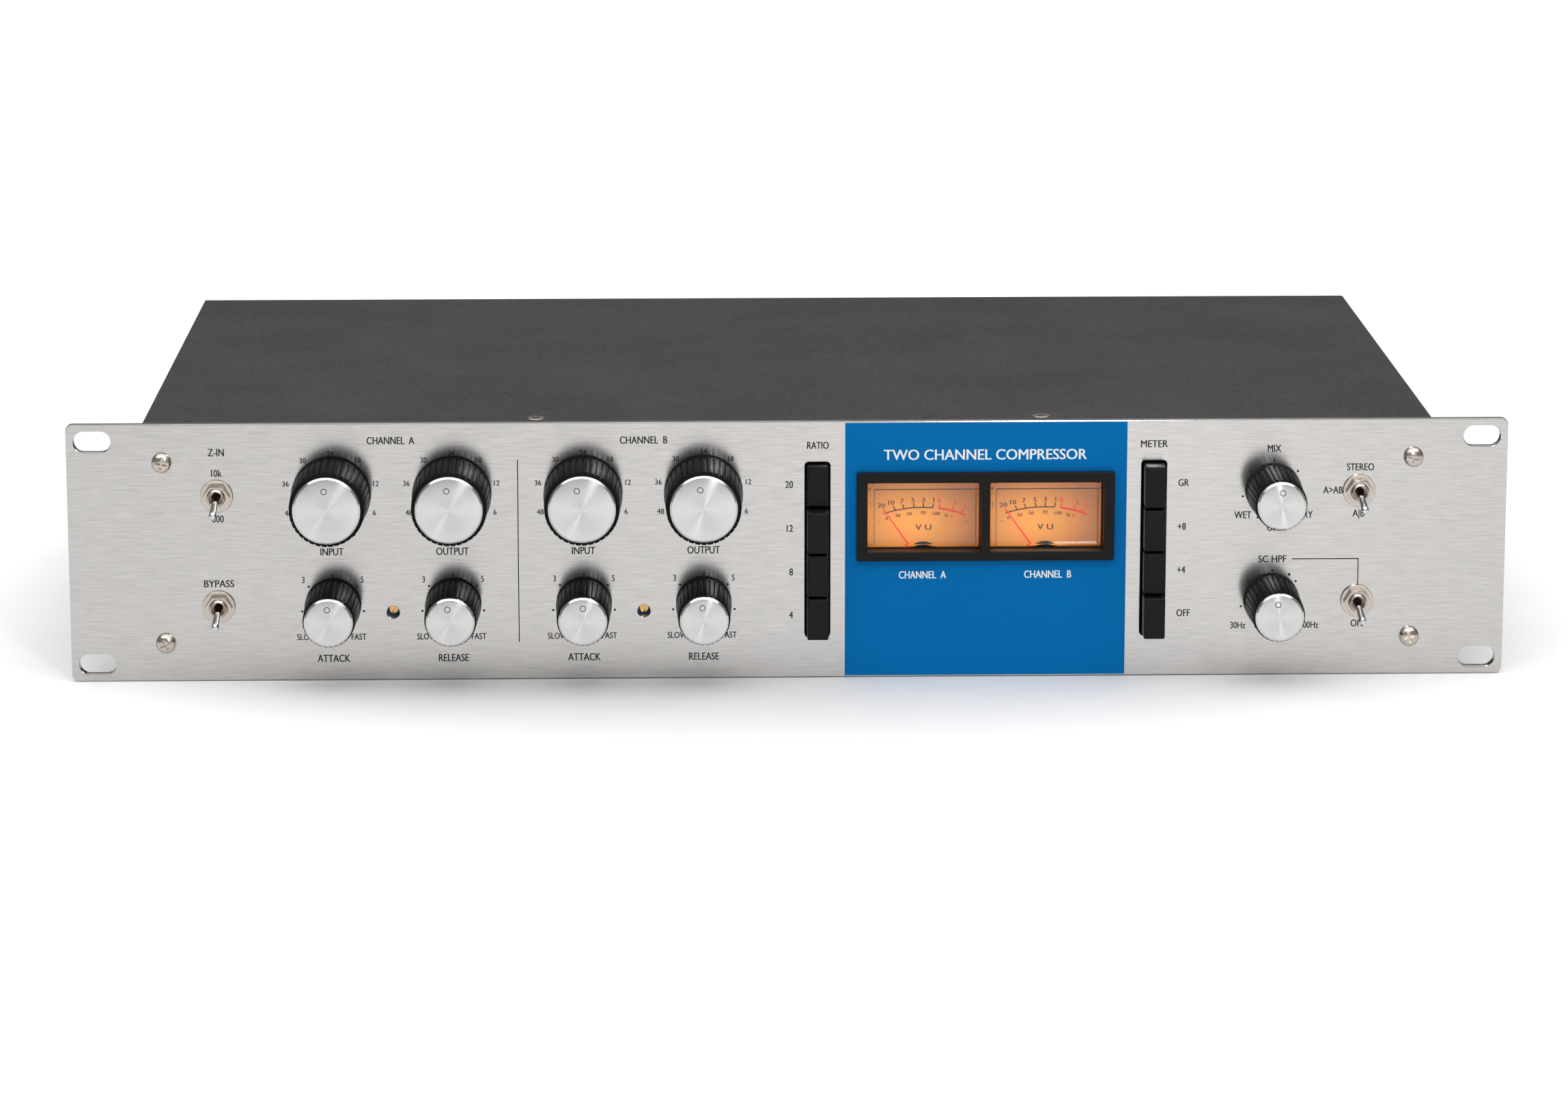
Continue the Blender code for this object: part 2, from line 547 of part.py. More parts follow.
def needles(mat):
    """Needles with a ring hub and a short counterweight, leaning left at rest."""
    outline = [(-0.16, NEEDLE_LENGTH), (-0.34, 1.9)]
    outline += [(1.93 * cos(radians(a)), 1.93 * sin(radians(a))) for a in range(110, 260, 20)]
    outline += [(-0.8, -2.8), (0.8, -2.8)]
    outline += [(1.93 * cos(radians(a)), 1.93 * sin(radians(a))) for a in range(-70, 80, 20)]
    outline += [(0.34, 1.9), (0.16, NEEDLE_LENGTH)]
    for channel, x in METER_X.items():
        bm = prism([outline, circle(0, 0, 1.05, 10)], NEEDLE_DEPTH, NEEDLE_DEPTH + 0.6)
        place(f"needle_{channel}", bm, mat, (x, 0, NEEDLE_PIVOT_Z), (0, radians(-NEEDLE_REST), 0))


# ---------------------------------------------------------------- inside and rear

def main_board(mat):
    """Circuit board on four posts with a heat sink and a pair of smoothing capacitors."""
    foot, low, high = TRAY_SHEET + GAP, MAIN_BOARD_Z[0] + 0.5, MAIN_BOARD_Z[1] - 0.6
    board = place("main_board", box(MAIN_BOARD_X, MAIN_BOARD_DEPTH, MAIN_BOARD_Z), mat)
    for x in (MAIN_BOARD_X[0] + POST_INSET, MAIN_BOARD_X[1] - POST_INSET):
        for depth in (MAIN_BOARD_DEPTH[0] + POST_INSET, MAIN_BOARD_DEPTH[1] - POST_INSET):
            post = turned([(0, foot), (POST_R, foot), (POST_R, low), (0, low)], 8, "Z")
            combine(board, post, "UNION", (x, depth, 0))
    for x in CAPACITOR_X:
        can = turned([(0, high), (CAPACITOR_R, high), (CAPACITOR_R, CAPACITOR_TOP), (0, CAPACITOR_TOP)], 12, "Z")
        combine(board, can, "UNION", (x, CAPACITOR_DEPTH, 0))
    combine(board, box(HEAT_SINK_X, HEAT_SINK_DEPTH, (high, HEAT_SINK_TOP)), "UNION")
    return board


def mains_transformer(mat):
    """Toroidal transformer standing on the tray."""
    low = TRAY_SHEET + GAP
    high = low + TOROID_H
    wall, rim = TOROID_HOLE_R + TOROID_EDGE, TOROID_R - TOROID_EDGE
    profile = [(TOROID_HOLE_R, low + TOROID_EDGE), (wall, low), (rim, low), (TOROID_R, low + TOROID_EDGE),
               (TOROID_R, high - TOROID_EDGE), (rim, high), (wall, high), (TOROID_HOLE_R, high - TOROID_EDGE),
               (TOROID_HOLE_R, low + TOROID_EDGE)]
    return place("mains_transformer", turned(profile, 24, "Z"), mat, (TOROID_X, TOROID_DEPTH, 0), smooth=True)


def audio_transformers(mat):
    """Four signal transformers, each a core with its coil, standing on the main board."""
    low = MAIN_BOARD_Z[1] + GAP
    for index, name in enumerate(("input_a", "output_a", "input_b", "output_b")):
        x = SIGNAL_X + SIGNAL_PITCH * index
        unit = place(f"transformer_{name}", standing(x, SIGNAL_DEPTH, low, SIGNAL_CORE), mat)
        combine(unit, standing(x, SIGNAL_DEPTH, low + COIL_LIFT, SIGNAL_COIL), "UNION")


def mains_inlet(mat):
    """Recessed appliance inlet with three blades; its flange stands behind the rear panel."""
    flange = prism([centred(INLET_X, INLET_Z, *INLET_FLANGE, 5, 3)], PLATE_FRONT, REAR_END)
    body = prism([centred(INLET_X, INLET_Z, *INLET_BODY)], REAR_END - INLET_BODY_DEPTH, REAR_END - 1)
    recess = prism([centred(INLET_X, INLET_Z, *INLET_RECESS, 2.5, 2)],
                   REAR_END - INLET_RECESS_DEPTH, REAR_END + 5)
    inlet = place("mains_inlet", flange, mat)
    combine(inlet, body, "UNION")
    combine(inlet, recess, "DIFFERENCE")
    for x, z in BLADES:
        blade = box((x - 1, x + 1), (REAR_END - INLET_RECESS_DEPTH - 1, REAR_END - 5), (z - 2, z + 2))
        combine(inlet, blade, "UNION", (INLET_X, 0, INLET_Z))
    return inlet


def xlr_sockets(mat):
    """Four flange-mounted three-pole connectors: inserts with holes for inputs, pins for outputs."""
    back = PLATE_FRONT + XLR_PLATE_T
    floor = back - XLR_BORE_DEPTH
    contacts = [(CONTACT_SPREAD * sin(radians(a)), CONTACT_SPREAD * cos(radians(a))) for a in CONTACT_ANGLES]
    for name, x in XLR_X.items():
        at = (x, 0, XLR_Z)
        plate = prism([centred(0, 0, XLR_PLATE_W, XLR_PLATE_H, 2, 2)], PLATE_FRONT, back)
        shell = prism([circle(0, 0, XLR_SHELL_R, 20)], REAR_PANEL_BACK - XLR_SHELL_LENGTH, PLATE_FRONT + 0.5)
        socket = place(f"xlr_{name}", plate, mat, at)
        combine(socket, shell, "UNION", at)
        combine(socket, prism([circle(0, 0, XLR_BORE_R, 20)], floor, back + 5), "DIFFERENCE", at)
        if name.startswith("input"):
            loops = [circle(0, 0, XLR_INSERT_R, 16)]
            loops += [circle(cx, cz, CONTACT_HOLE_R, 8) for cx, cz in contacts]
            combine(socket, prism(loops, floor - 0.5, back - 1.0), "UNION", at)
        else:
            for cx, cz in contacts:
                pin = prism([circle(cx, cz, CONTACT_PIN_R, 8)], floor - 0.5, back - 5.5)
                combine(socket, pin, "UNION", at)


def main():
    """Clear the scene and build every piece."""
    for item in list(bpy.data.objects):
        bpy.data.objects.remove(item, do_unlink=True)
    brushed = finish("brushed_aluminium", (0.62, 0.61, 0.59), 0.36, 1.0)
    powder = finish("powder_coat", (0.085, 0.08, 0.078), 0.62)
    nickel = finish("nickel", (0.68, 0.63, 0.57), 0.2, 1.0)
    chrome = finish("chrome", (0.75, 0.75, 0.76), 0.08, 1.0)
    black = finish("black_plastic", (0.02, 0.02, 0.022), 0.4)
    amber = finish("amber_dial", (0.9, 0.5, 0.16), 0.5)
    clear = finish("clear_acrylic", (0.9, 0.8, 0.65), 0.05)
    red = finish("red_needle", (0.8, 0.05, 0.02), 0.4)
    brass = finish("brass", (0.8, 0.5, 0.2), 0.3, 1.0)
    board = finish("circuit_board", (0.03, 0.14, 0.07), 0.5)
    steel = finish("core_steel", (0.2, 0.2, 0.21), 0.4, 0.8)
    front_panel(brushed)
    panel_screws(nickel)
    chassis_tray(powder)
    top_cover(powder)
    rear_panel(powder)
    knobs(black)
    control_board(board)
    blend_board(board)
    trimmer_screws(brass)
    toggles(nickel, chrome)
    push_buttons(black)
    switch_banks(black)
    meter_bezel(black)
    meter_cases(black)
    meter_windows(clear)
    meter_dials(amber)
    needles(red)
    main_board(board)
    mains_transformer(steel)
    audio_transformers(steel)
    mains_inlet(black)
    xlr_sockets(nickel)


main()
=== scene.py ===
import json
import logging
import math
from dataclasses import dataclass, field
from enum import Enum
from math import cos, pi, radians, sin, tau
from typing import Iterable, Sequence

import bmesh
import bpy
from mathutils import Matrix, Vector


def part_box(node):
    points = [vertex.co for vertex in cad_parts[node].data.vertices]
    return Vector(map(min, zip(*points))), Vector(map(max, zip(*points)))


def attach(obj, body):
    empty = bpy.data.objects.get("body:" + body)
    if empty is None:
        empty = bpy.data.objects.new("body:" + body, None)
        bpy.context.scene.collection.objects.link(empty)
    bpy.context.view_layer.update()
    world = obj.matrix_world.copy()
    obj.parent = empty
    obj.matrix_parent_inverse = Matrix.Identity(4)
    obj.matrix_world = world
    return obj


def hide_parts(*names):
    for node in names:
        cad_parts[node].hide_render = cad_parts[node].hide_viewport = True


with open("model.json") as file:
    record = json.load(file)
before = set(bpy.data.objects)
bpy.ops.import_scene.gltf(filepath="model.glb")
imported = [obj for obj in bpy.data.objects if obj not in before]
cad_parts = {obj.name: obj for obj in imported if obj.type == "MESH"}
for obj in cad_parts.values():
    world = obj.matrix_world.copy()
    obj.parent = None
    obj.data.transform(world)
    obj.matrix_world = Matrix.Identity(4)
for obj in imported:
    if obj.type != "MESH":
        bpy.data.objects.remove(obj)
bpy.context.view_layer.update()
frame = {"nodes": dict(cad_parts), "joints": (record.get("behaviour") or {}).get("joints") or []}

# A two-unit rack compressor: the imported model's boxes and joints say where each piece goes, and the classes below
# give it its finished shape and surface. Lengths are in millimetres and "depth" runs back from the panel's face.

MM = 0.001
FACE_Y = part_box("front_panel")[0].y
JOINTS = {joint["child"]: joint for joint in frame["joints"]}
Point = tuple[float, float]
Loop = Sequence[Point]
Triple = tuple[float, float, float]
Head = tuple[float, float, bool]   # radius, height, and whether its top is flat
PANEL_SCREWS = tuple(f"panel_screw_{side}_{level}" for side in ("left", "right") for level in ("lower", "upper"))
ORIGIN = Vector((0, 0, 0))
log = logging.getLogger("compressor")


class Side(Enum):
    """Which part of a word stands at its place."""

    LEFT = 0.0
    MIDDLE = 0.5
    RIGHT = 1.0


class Facing(Enum):
    """Which way a screw's head looks: its turn from the front, and the axis that it is driven along."""

    FRONT = ("Z", 0, (0, 1, 0))
    BACK = ("Z", 180, (0, 1, 0))
    LEFT = ("Z", -90, (1, 0, 0))
    RIGHT = ("Z", 90, (1, 0, 0))
    UP = ("X", -90, (0, 0, 1))


# ---------------------------------------------------------------- places

def spot(x: float, depth: float, z: float) -> Vector:
    """A point in metres from its place on the panel in millimetres."""
    return Vector((x * MM, FACE_Y + depth * MM, z * MM))


def axis_of(body: str) -> Point:
    """Where a turning body's axis crosses the panel, as (x, z) in millimetres."""
    at = JOINTS[body]["pos_m"]
    return at[0] / MM, at[2] / MM


def extent(node: str) -> tuple[Point, Point, Point]:
    """A CAD node's size and place.

    Args:
        node: The node's name.

    Returns:
        Its (low, high) pairs across, in depth and in height, in millimetres.
    """
    low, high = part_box(node)
    return ((low.x / MM, high.x / MM), ((low.y - FACE_Y) / MM, (high.y - FACE_Y) / MM), (low.z / MM, high.z / MM))


def middle(pair: Point) -> float:
    """The middle of a (low, high) pair."""
    return (pair[0] + pair[1]) / 2


def centre_of(node: str) -> Point:
    """The middle of a CAD node seen from the front, as (x, z)."""
    across, _, tall = extent(node)
    return middle(across), middle(tall)


# ---------------------------------------------------------------- node trees

class Graph:
    """Adds nodes to a tree and links them in one step."""

    def __init__(self, tree: bpy.types.NodeTree) -> None:
        """Start on a tree."""
        self.tree = tree

    def add(self, kind: str, inputs: dict | None = None, **options: object) -> bpy.types.Node:
        """Add a node.

        Args:
            kind: The node's type.
            inputs: For each input, by name or number, a value or the output that feeds it.
            options: The node's own settings.

        Returns:
            The new node.
        """
        node = self.tree.nodes.new(kind)
        for option, value in options.items():
            setattr(node, option, value)
        for socket, value in (inputs or {}).items():
            if isinstance(value, bpy.types.NodeSocket):
                self.tree.links.new(value, node.inputs[socket])
            else:
                node.inputs[socket].default_value = value
        return node

    def maths(self, operation: str, *values: object) -> bpy.types.NodeSocket:
        """Work out one number from others.

        Args:
            operation: What to do with them.
            values: Numbers or outputs.

        Returns:
            The output that holds the result.
        """
        return self.add("ShaderNodeMath", dict(enumerate(values)), operation=operation).outputs[0]

    def scaled(self, vector: object, factor: object) -> bpy.types.NodeSocket:
        """Multiply a vector or colour by one number.

        Args:
            vector: The output to scale.
            factor: A number or an output.

        Returns:
            The scaled output.
        """
        return self.add("ShaderNodeVectorMath", {0: vector, "Scale": factor}, operation="SCALE").outputs[0]

    def spread(self, value: object, low: float, high: float) -> bpy.types.NodeSocket:
        """Stretch a noise value over a range.

        Args:
            value: The noise.
            low: What a low value becomes.
            high: What a high value becomes.

        Returns:
            The stretched output.
        """
        return self.add("ShaderNodeMapRange", {"Value": value, "From Min": 0.25, "From Max": 0.75,
                                               "To Min": low, "To Max": high}).outputs[0]


def new_group(name: str, kind: str, inputs: dict[str, tuple[str, object]],
              outputs: dict[str, str]) -> tuple[bpy.types.NodeTree, Graph, bpy.types.Node]:
    """Make an empty node group with named sockets.

    Args:
        name: The group's name.
        kind: "Shader" or "Geometry".
        inputs: Each input's socket type and default.
        outputs: Each output's socket type.

    Returns:
        The group, a graph that adds to it, and its input node.
    """
    tree = bpy.data.node_groups.new(name, f"{kind}NodeTree")
    for label, (socket, default) in inputs.items():
        item = tree.interface.new_socket(label, in_out="INPUT", socket_type=f"NodeSocket{socket}")
        if default is not None:
            item.default_value = default
    for label, socket in outputs.items():
        tree.interface.new_socket(label, in_out="OUTPUT", socket_type=f"NodeSocket{socket}")
    return tree, Graph(tree), tree.nodes.new("NodeGroupInput")


def fine_speckle() -> bpy.types.NodeTree:
    """Fine grain in colour, gloss and relief, with a slow drift over the whole surface.

    Returns:
        The shared shader group.
    """
    tree, graph, given = new_group(
        "Fine speckle", "Shader",
        {"Colour": ("Color", (0.5, 0.5, 0.5, 1)), "Contrast": ("Float", 0.1), "Scale": ("Float", 1500.0),
         "Roughness": ("Float", 0.5), "Relief": ("Float", 0.2)},
        {"Colour": "Color", "Roughness": "Float", "Normal": "Vector"})
    place = graph.add("ShaderNodeTexCoord").outputs["Object"]
    grain = graph.add("ShaderNodeTexNoise", {"Vector": place, "Scale": given.outputs["Scale"], "Detail": 3.0})
    drift = graph.add("ShaderNodeTexNoise", {"Vector": place, "Scale": 28.0, "Detail": 2.0})
    both = graph.maths("ADD", graph.maths("MULTIPLY", grain.outputs[0], 0.7),
                       graph.maths("MULTIPLY", drift.outputs[0], 0.3))
    swing = graph.maths("MULTIPLY", graph.spread(both, -1, 1), given.outputs["Contrast"])
    colour = graph.scaled(given.outputs["Colour"], graph.maths("ADD", swing, 1.0))
    gloss = graph.maths("MULTIPLY", given.outputs["Roughness"], graph.spread(both, 0.88, 1.12))
    bump = graph.add("ShaderNodeBump", {"Height": grain.outputs[0], "Strength": given.outputs["Relief"],
                                        "Distance": 0.0001})
    graph.add("NodeGroupOutput", {"Colour": colour, "Roughness": gloss, "Normal": bump.outputs[0]})
    return tree


def brush_grain() -> bpy.types.NodeTree:
    """Long fine scratches in two widths, along the first axis of the vector that is fed in.

    Returns:
        The shared shader group.
    """
    tree, graph, given = new_group(
        "Brush grain", "Shader",
        {"Vector": ("Vector", None), "Colour": ("Color", (0.6, 0.6, 0.6, 1)), "Contrast": ("Float", 0.1),
         "Roughness": ("Float", 0.3), "Relief": ("Float", 0.1)},
        {"Colour": "Color", "Roughness": "Float", "Normal": "Vector"})
    wide = graph.add("ShaderNodeTexNoise", {"Vector": given.outputs["Vector"], "Scale": 1.0, "Detail": 4.0,
                                            "Roughness": 0.65})
    doubled = graph.add("ShaderNodeMapping", {"Vector": given.outputs["Vector"], "Scale": (1.6, 3.7, 3.7)})
    narrow = graph.add("ShaderNodeTexNoise", {"Vector": doubled.outputs[0], "Scale": 1.0, "Detail": 3.0})
    both = graph.maths("ADD", graph.maths("MULTIPLY", wide.outputs[0], 0.55),
                       graph.maths("MULTIPLY", narrow.outputs[0], 0.45))
    swing = graph.maths("MULTIPLY", graph.spread(both, -1, 1), given.outputs["Contrast"])
    colour = graph.scaled(given.outputs["Colour"], graph.maths("ADD", swing, 1.0))
    gloss = graph.maths("MULTIPLY", given.outputs["Roughness"], graph.spread(both, 1.15, 0.85))
    bump = graph.add("ShaderNodeBump", {"Height": both, "Strength": given.outputs["Relief"],
                                        "Distance": 0.00005})
    graph.add("NodeGroupOutput", {"Colour": colour, "Roughness": gloss, "Normal": bump.outputs[0]})
    return tree


def lamp_glow() -> bpy.types.NodeTree:
    """A glow that is brightest at one place and browner away from it.

    Returns:
        The shared shader group.
    """
    tree, graph, given = new_group(
        "Lamp glow", "Shader",
        {"Centre": ("Vector", (0, 0, 0)), "Reach": ("Float", 0.02), "Near": ("Color", (1, 0.5, 0.1, 1)),
         "Far": ("Color", (0.5, 0.2, 0.05, 1))}, {"Colour": "Color", "Mask": "Float"})
    place = graph.add("ShaderNodeTexCoord").outputs["Object"]
    away = graph.add("ShaderNodeVectorMath", {0: place, 1: given.outputs["Centre"]}, operation="SUBTRACT")
    shaped = graph.add("ShaderNodeVectorMath", {0: away.outputs[0], 1: (0.72, 0, 1)}, operation="MULTIPLY")
    length = graph.add("ShaderNodeVectorMath", {0: shaped.outputs[0]}, operation="LENGTH").outputs["Value"]
    paper = graph.add("ShaderNodeTexNoise", {"Vector": place, "Scale": 900.0, "Detail": 2.0}).outputs[0]
    ratio = graph.maths("ADD", graph.maths("DIVIDE", length, given.outputs["Reach"]),
                        graph.spread(paper, -0.03, 0.03))
    mask = graph.add("ShaderNodeMapRange", {"Value": ratio}, interpolation_type="SMOOTHSTEP").outputs[0]
    mixed = graph.add("ShaderNodeMix", {0: mask, 6: given.outputs["Near"], 7: given.outputs["Far"]},
                      data_type="RGBA")
    graph.add("NodeGroupOutput", {"Colour": mixed.outputs[2], "Mask": mask})
    return tree


def planted(graph: Graph, given: bpy.types.Node, points: bpy.types.NodeSocket,
            turn: bpy.types.NodeSocket) -> None:
    """End a geometry tree: its source on every point, made real and given its material.

    Args:
        graph: The tree's graph.
        given: Its input node.
        points: The points.
        turn: The rotation at each point.
    """
    source = graph.add("GeometryNodeObjectInfo", {"Object": given.outputs["Source"], "As Instance": True})
    placed = graph.add("GeometryNodeInstanceOnPoints",
                       {"Points": points, "Instance": source.outputs["Geometry"], "Rotation": turn})
    real = graph.add("GeometryNodeRealizeInstances", {0: placed.outputs[0]})
    dressed = graph.add("GeometryNodeSetMaterial", {"Geometry": real.outputs[0],
                                                    "Material": given.outputs["Finish"]})
    graph.add("NodeGroupOutput", {"Geometry": dressed.outputs[0]})


def copies() -> bpy.types.NodeTree:
    """Copies of one shape along and round an axis that runs in depth: flutes, dots, threads.

    Returns:
        The geometry tree.
    """
    tree, graph, given = new_group(
        "Copies round an axis", "Geometry",
        {"Geometry": ("Geometry", None), "Source": ("Object", None), "Count": ("Int", 12),
         "Centre": ("Vector", (0, 0, 0)), "Start": ("Float", 0.0), "Step": ("Float", 0.5),
         "Rise": ("Float", 0.0), "Finish": ("Material", None)}, {"Geometry": "Geometry"})
    rise = graph.add("ShaderNodeCombineXYZ", {"Y": given.outputs["Rise"]})
    line = graph.add("GeometryNodeMeshLine", {"Count": given.outputs["Count"],
                                              "Start Location": given.outputs["Centre"],
                                              "Offset": rise.outputs[0]})
    index = graph.add("GeometryNodeInputIndex").outputs[0]
    angle = graph.maths("ADD", graph.maths("MULTIPLY", index, given.outputs["Step"]), given.outputs["Start"])
    turn = graph.add("FunctionNodeEulerToRotation",
                     {0: graph.add("ShaderNodeCombineXYZ", {"Y": angle}).outputs[0]})
    planted(graph, given, line.outputs[0], turn.outputs[0])
    return tree


def fasteners() -> bpy.types.NodeTree:
    """One fastener on each point, each driven home at its own chance angle.

    Returns:
        The geometry tree.
    """
    tree, graph, given = new_group(
        "Fasteners at points", "Geometry",
        {"Geometry": ("Geometry", None), "Source": ("Object", None), "Axis": ("Vector", (0, 1, 0)),
         "Seed": ("Int", 3), "Finish": ("Material", None)}, {"Geometry": "Geometry"})
    chance = graph.add("FunctionNodeRandomValue", {"Min": 0.0, "Max": tau / 4, "Seed": given.outputs["Seed"]},
                       data_type="FLOAT")
    angle = next(out for out in chance.outputs if out.enabled)
    turn = graph.add("FunctionNodeEulerToRotation", {0: graph.scaled(given.outputs["Axis"], angle)})
    planted(graph, given, given.outputs["Geometry"], turn.outputs[0])
    return tree


SPECKLE, GRAIN, GLOW = fine_speckle(), brush_grain(), lamp_glow()
COPIES, FASTENERS = copies(), fasteners()


# ---------------------------------------------------------------- finishes

_made: dict[str, bpy.types.Material] = {}


@dataclass(frozen=True)
class Finish:
    """A surface, and the record's slot that it stands for."""

    name: str
    slot: str
    colour: Triple
    roughness: float
    metallic: float = 0.0

    def material(self) -> bpy.types.Material:
        """Build the material the first time it is asked for.

        Returns:
            The material, shared by every piece with this finish.
        """
        if self.name not in _made:
            made = bpy.data.materials.new(self.name)
            made.use_nodes = True
            shader = made.node_tree.nodes["Principled BSDF"]
            shader.inputs["Metallic"].default_value = self.metallic
            self.dress(Graph(made.node_tree), shader)
            made.diffuse_color = (*self.colour, 1)
            _made[self.name] = made
        return _made[self.name]

    def dress(self, graph: Graph, shader: bpy.types.Node) -> None:
        """Feed the shader; each kind of finish does this its own way.

        Args:
            graph: The material's graph.
            shader: The Principled shader.
        """
        raise NotImplementedError

    def feed(self, graph: Graph, group: bpy.types.Node, shader: bpy.types.Node) -> None:
        """Link a group's outputs to the shader sockets of the same meaning.

        Args:
            graph: The material's graph.
            group: A group node with Colour, Roughness and Normal outputs.
            shader: The Principled shader.
        """
        for output, socket in (("Colour", "Base Color"), ("Roughness", "Roughness"), ("Normal", "Normal")):
            graph.tree.links.new(group.outputs[output], shader.inputs[socket])


@dataclass(frozen=True)
class Speckled(Finish):
    """Paint, plastic, ink and plain metal: a fine even grain, and, where glow is set, a painted glow."""

    contrast: float = 0.08
    scale: float = 1500.0
    relief: float = 0.1
    coat: float = 0.0
    specular: float = 0.5
    glow: float = 0.0

    def dress(self, graph: Graph, shader: bpy.types.Node) -> None:
        """Feed the shader from the fine speckle.

        Args:
            graph: The material's graph.
            shader: The Principled shader.
        """
        group = graph.add("ShaderNodeGroup", {"Colour": (*self.colour, 1), "Contrast": self.contrast,
                                              "Scale": self.scale, "Roughness": self.roughness,
                                              "Relief": self.relief}, node_tree=SPECKLE)
        self.feed(graph, group, shader)
        shader.inputs["Coat Weight"].default_value = self.coat
        shader.inputs["Coat Roughness"].default_value = 0.12
        shader.inputs["Specular IOR Level"].default_value = self.specular
        # Painted glow: the speckled colour is also fed to emission, though the surface is no lamp.
        if self.glow:
            graph.tree.links.new(group.outputs["Colour"], shader.inputs["Emission Color"])
            shader.inputs["Emission Strength"].default_value = self.glow


@dataclass(frozen=True)
class Brushed(Finish):
    """Aluminium worked with a belt, or turned in a lathe where its grain map runs round an axis."""

    stretch: Point = (160.0, 3200.0)
    contrast: float = 0.1
    relief: float = 0.12
    anisotropy: float = 0.75
    turned: bool = False

    def dress(self, graph: Graph, shader: bpy.types.Node) -> None:
        """Feed the shader from the brush grain, and lay its gloss along the grain map.

        Args:
            graph: The material's graph.
            shader: The Principled shader.
        """
        along, across = self.stretch
        if self.turned:
            place = graph.add("ShaderNodeUVMap", uv_map="grain").outputs[0]
            scale = (along, across, 1)
        else:
            place = graph.add("ShaderNodeTexCoord").outputs["Object"]
            scale = (along, 1, across)
        laid = graph.add("ShaderNodeMapping", {"Vector": place, "Scale": scale})
        group = graph.add("ShaderNodeGroup", {"Vector": laid.outputs[0], "Colour": (*self.colour, 1),
                                              "Contrast": self.contrast, "Roughness": self.roughness,
                                              "Relief": self.relief}, node_tree=GRAIN)
        self.feed(graph, group, shader)
        shader.inputs["Anisotropic"].default_value = self.anisotropy
        shader.inputs["Anisotropic Rotation"].default_value = 0.25
        tangent = graph.add("ShaderNodeTangent", direction_type="UV_MAP", uv_map="grain")
        graph.tree.links.new(tangent.outputs[0], shader.inputs["Tangent"])


@dataclass(frozen=True)
class Lit(Finish):
    """A translucent sheet with a lamp behind it; the lamp is not built, so its light is painted into the sheet's colour
    and glow, brightest near it and browner away.
    """

    far: Triple = (0.34, 0.1, 0.025)
    centre: Triple = (0.0, 0.0, 0.0)
    reach: float = 0.021
    strength: float = 0.69

    def dress(self, graph: Graph, shader: bpy.types.Node) -> None:
        """Light the sheet from the lamp glow.

        Args:
            graph: The material's graph.
            shader: The Principled shader.
        """
        group = graph.add("ShaderNodeGroup", {"Centre": self.centre, "Reach": self.reach,
                                              "Near": (*self.colour, 1), "Far": (*self.far, 1)}, node_tree=GLOW)
        graph.tree.links.new(group.outputs["Colour"], shader.inputs["Emission Color"])
        graph.tree.links.new(group.outputs["Colour"], shader.inputs["Base Color"])
        shader.inputs["Emission Strength"].default_value = self.strength
        rough = graph.maths("ADD", graph.maths("MULTIPLY", group.outputs["Mask"], 0.12), self.roughness)
        graph.tree.links.new(rough, shader.inputs["Roughness"])


@dataclass(frozen=True)
class Clear(Finish):
    """Clear moulded acrylic with a faint moulding haze."""

    def dress(self, graph: Graph, shader: bpy.types.Node) -> None:
        """Feed the haze from the fine speckle and let the light through.

        Args:
            graph: The material's graph.
            shader: The Principled shader.
        """
        group = graph.add("ShaderNodeGroup", {"Colour": (*self.colour, 1), "Contrast": 0.02, "Scale": 300.0,
                                              "Roughness": self.roughness, "Relief": 0.01}, node_tree=SPECKLE)
        self.feed(graph, group, shader)
        shader.inputs["Transmission Weight"].default_value = 1.0
        shader.inputs["IOR"].default_value = 1.49


@dataclass(frozen=True)
class Ground(Finish):
    """A pale floor with a painted glow, seen only by the camera, that brightens it gently away from what stands on it.
    """

    footprint: Point = (0.27, 0.22)
    painted_glow: float = 0.55

    def dress(self, graph: Graph, shader: bpy.types.Node) -> None:
        """Feed the shader's tone, and a painted glow that grows with the distance from the middle.

        Args:
            graph: The material's graph.
            shader: The Principled shader.
        """
        place = graph.add("ShaderNodeTexCoord").outputs["Object"]
        across, along = self.footprint
        shaped = graph.add("ShaderNodeVectorMath", {0: place, 1: (1 / across, 1 / along, 0)}, operation="MULTIPLY")
        away = graph.add("ShaderNodeVectorMath", {0: shaped.outputs[0]}, operation="LENGTH").outputs["Value"]
        mask = graph.add("ShaderNodeMapRange", {"Value": away, "From Min": 0.6, "From Max": 1.6},
                         interpolation_type="SMOOTHSTEP").outputs[0]
        # Painted light: only camera rays see this glow, so the floor turns white away from the object while the shade
        # round it stays.
        mask = graph.maths("MULTIPLY", mask, graph.add("ShaderNodeLightPath").outputs["Is Camera Ray"])
        painted_glow = graph.add("ShaderNodeCombineColor", {0: mask, 1: mask, 2: mask})
        graph.tree.links.new(painted_glow.outputs[0], shader.inputs["Emission Color"])
        shader.inputs["Emission Strength"].default_value = self.painted_glow
        grain = graph.add("ShaderNodeTexNoise", {"Vector": place, "Scale": 40.0, "Detail": 2.0})
        tone = graph.maths("MULTIPLY", graph.spread(grain.outputs[0], 0.99, 1.01), self.colour[0])
        base = graph.add("ShaderNodeCombineColor", {0: tone, 1: tone, 2: tone})
        graph.tree.links.new(base.outputs[0], shader.inputs["Base Color"])
        shader.inputs["Roughness"].default_value = self.roughness


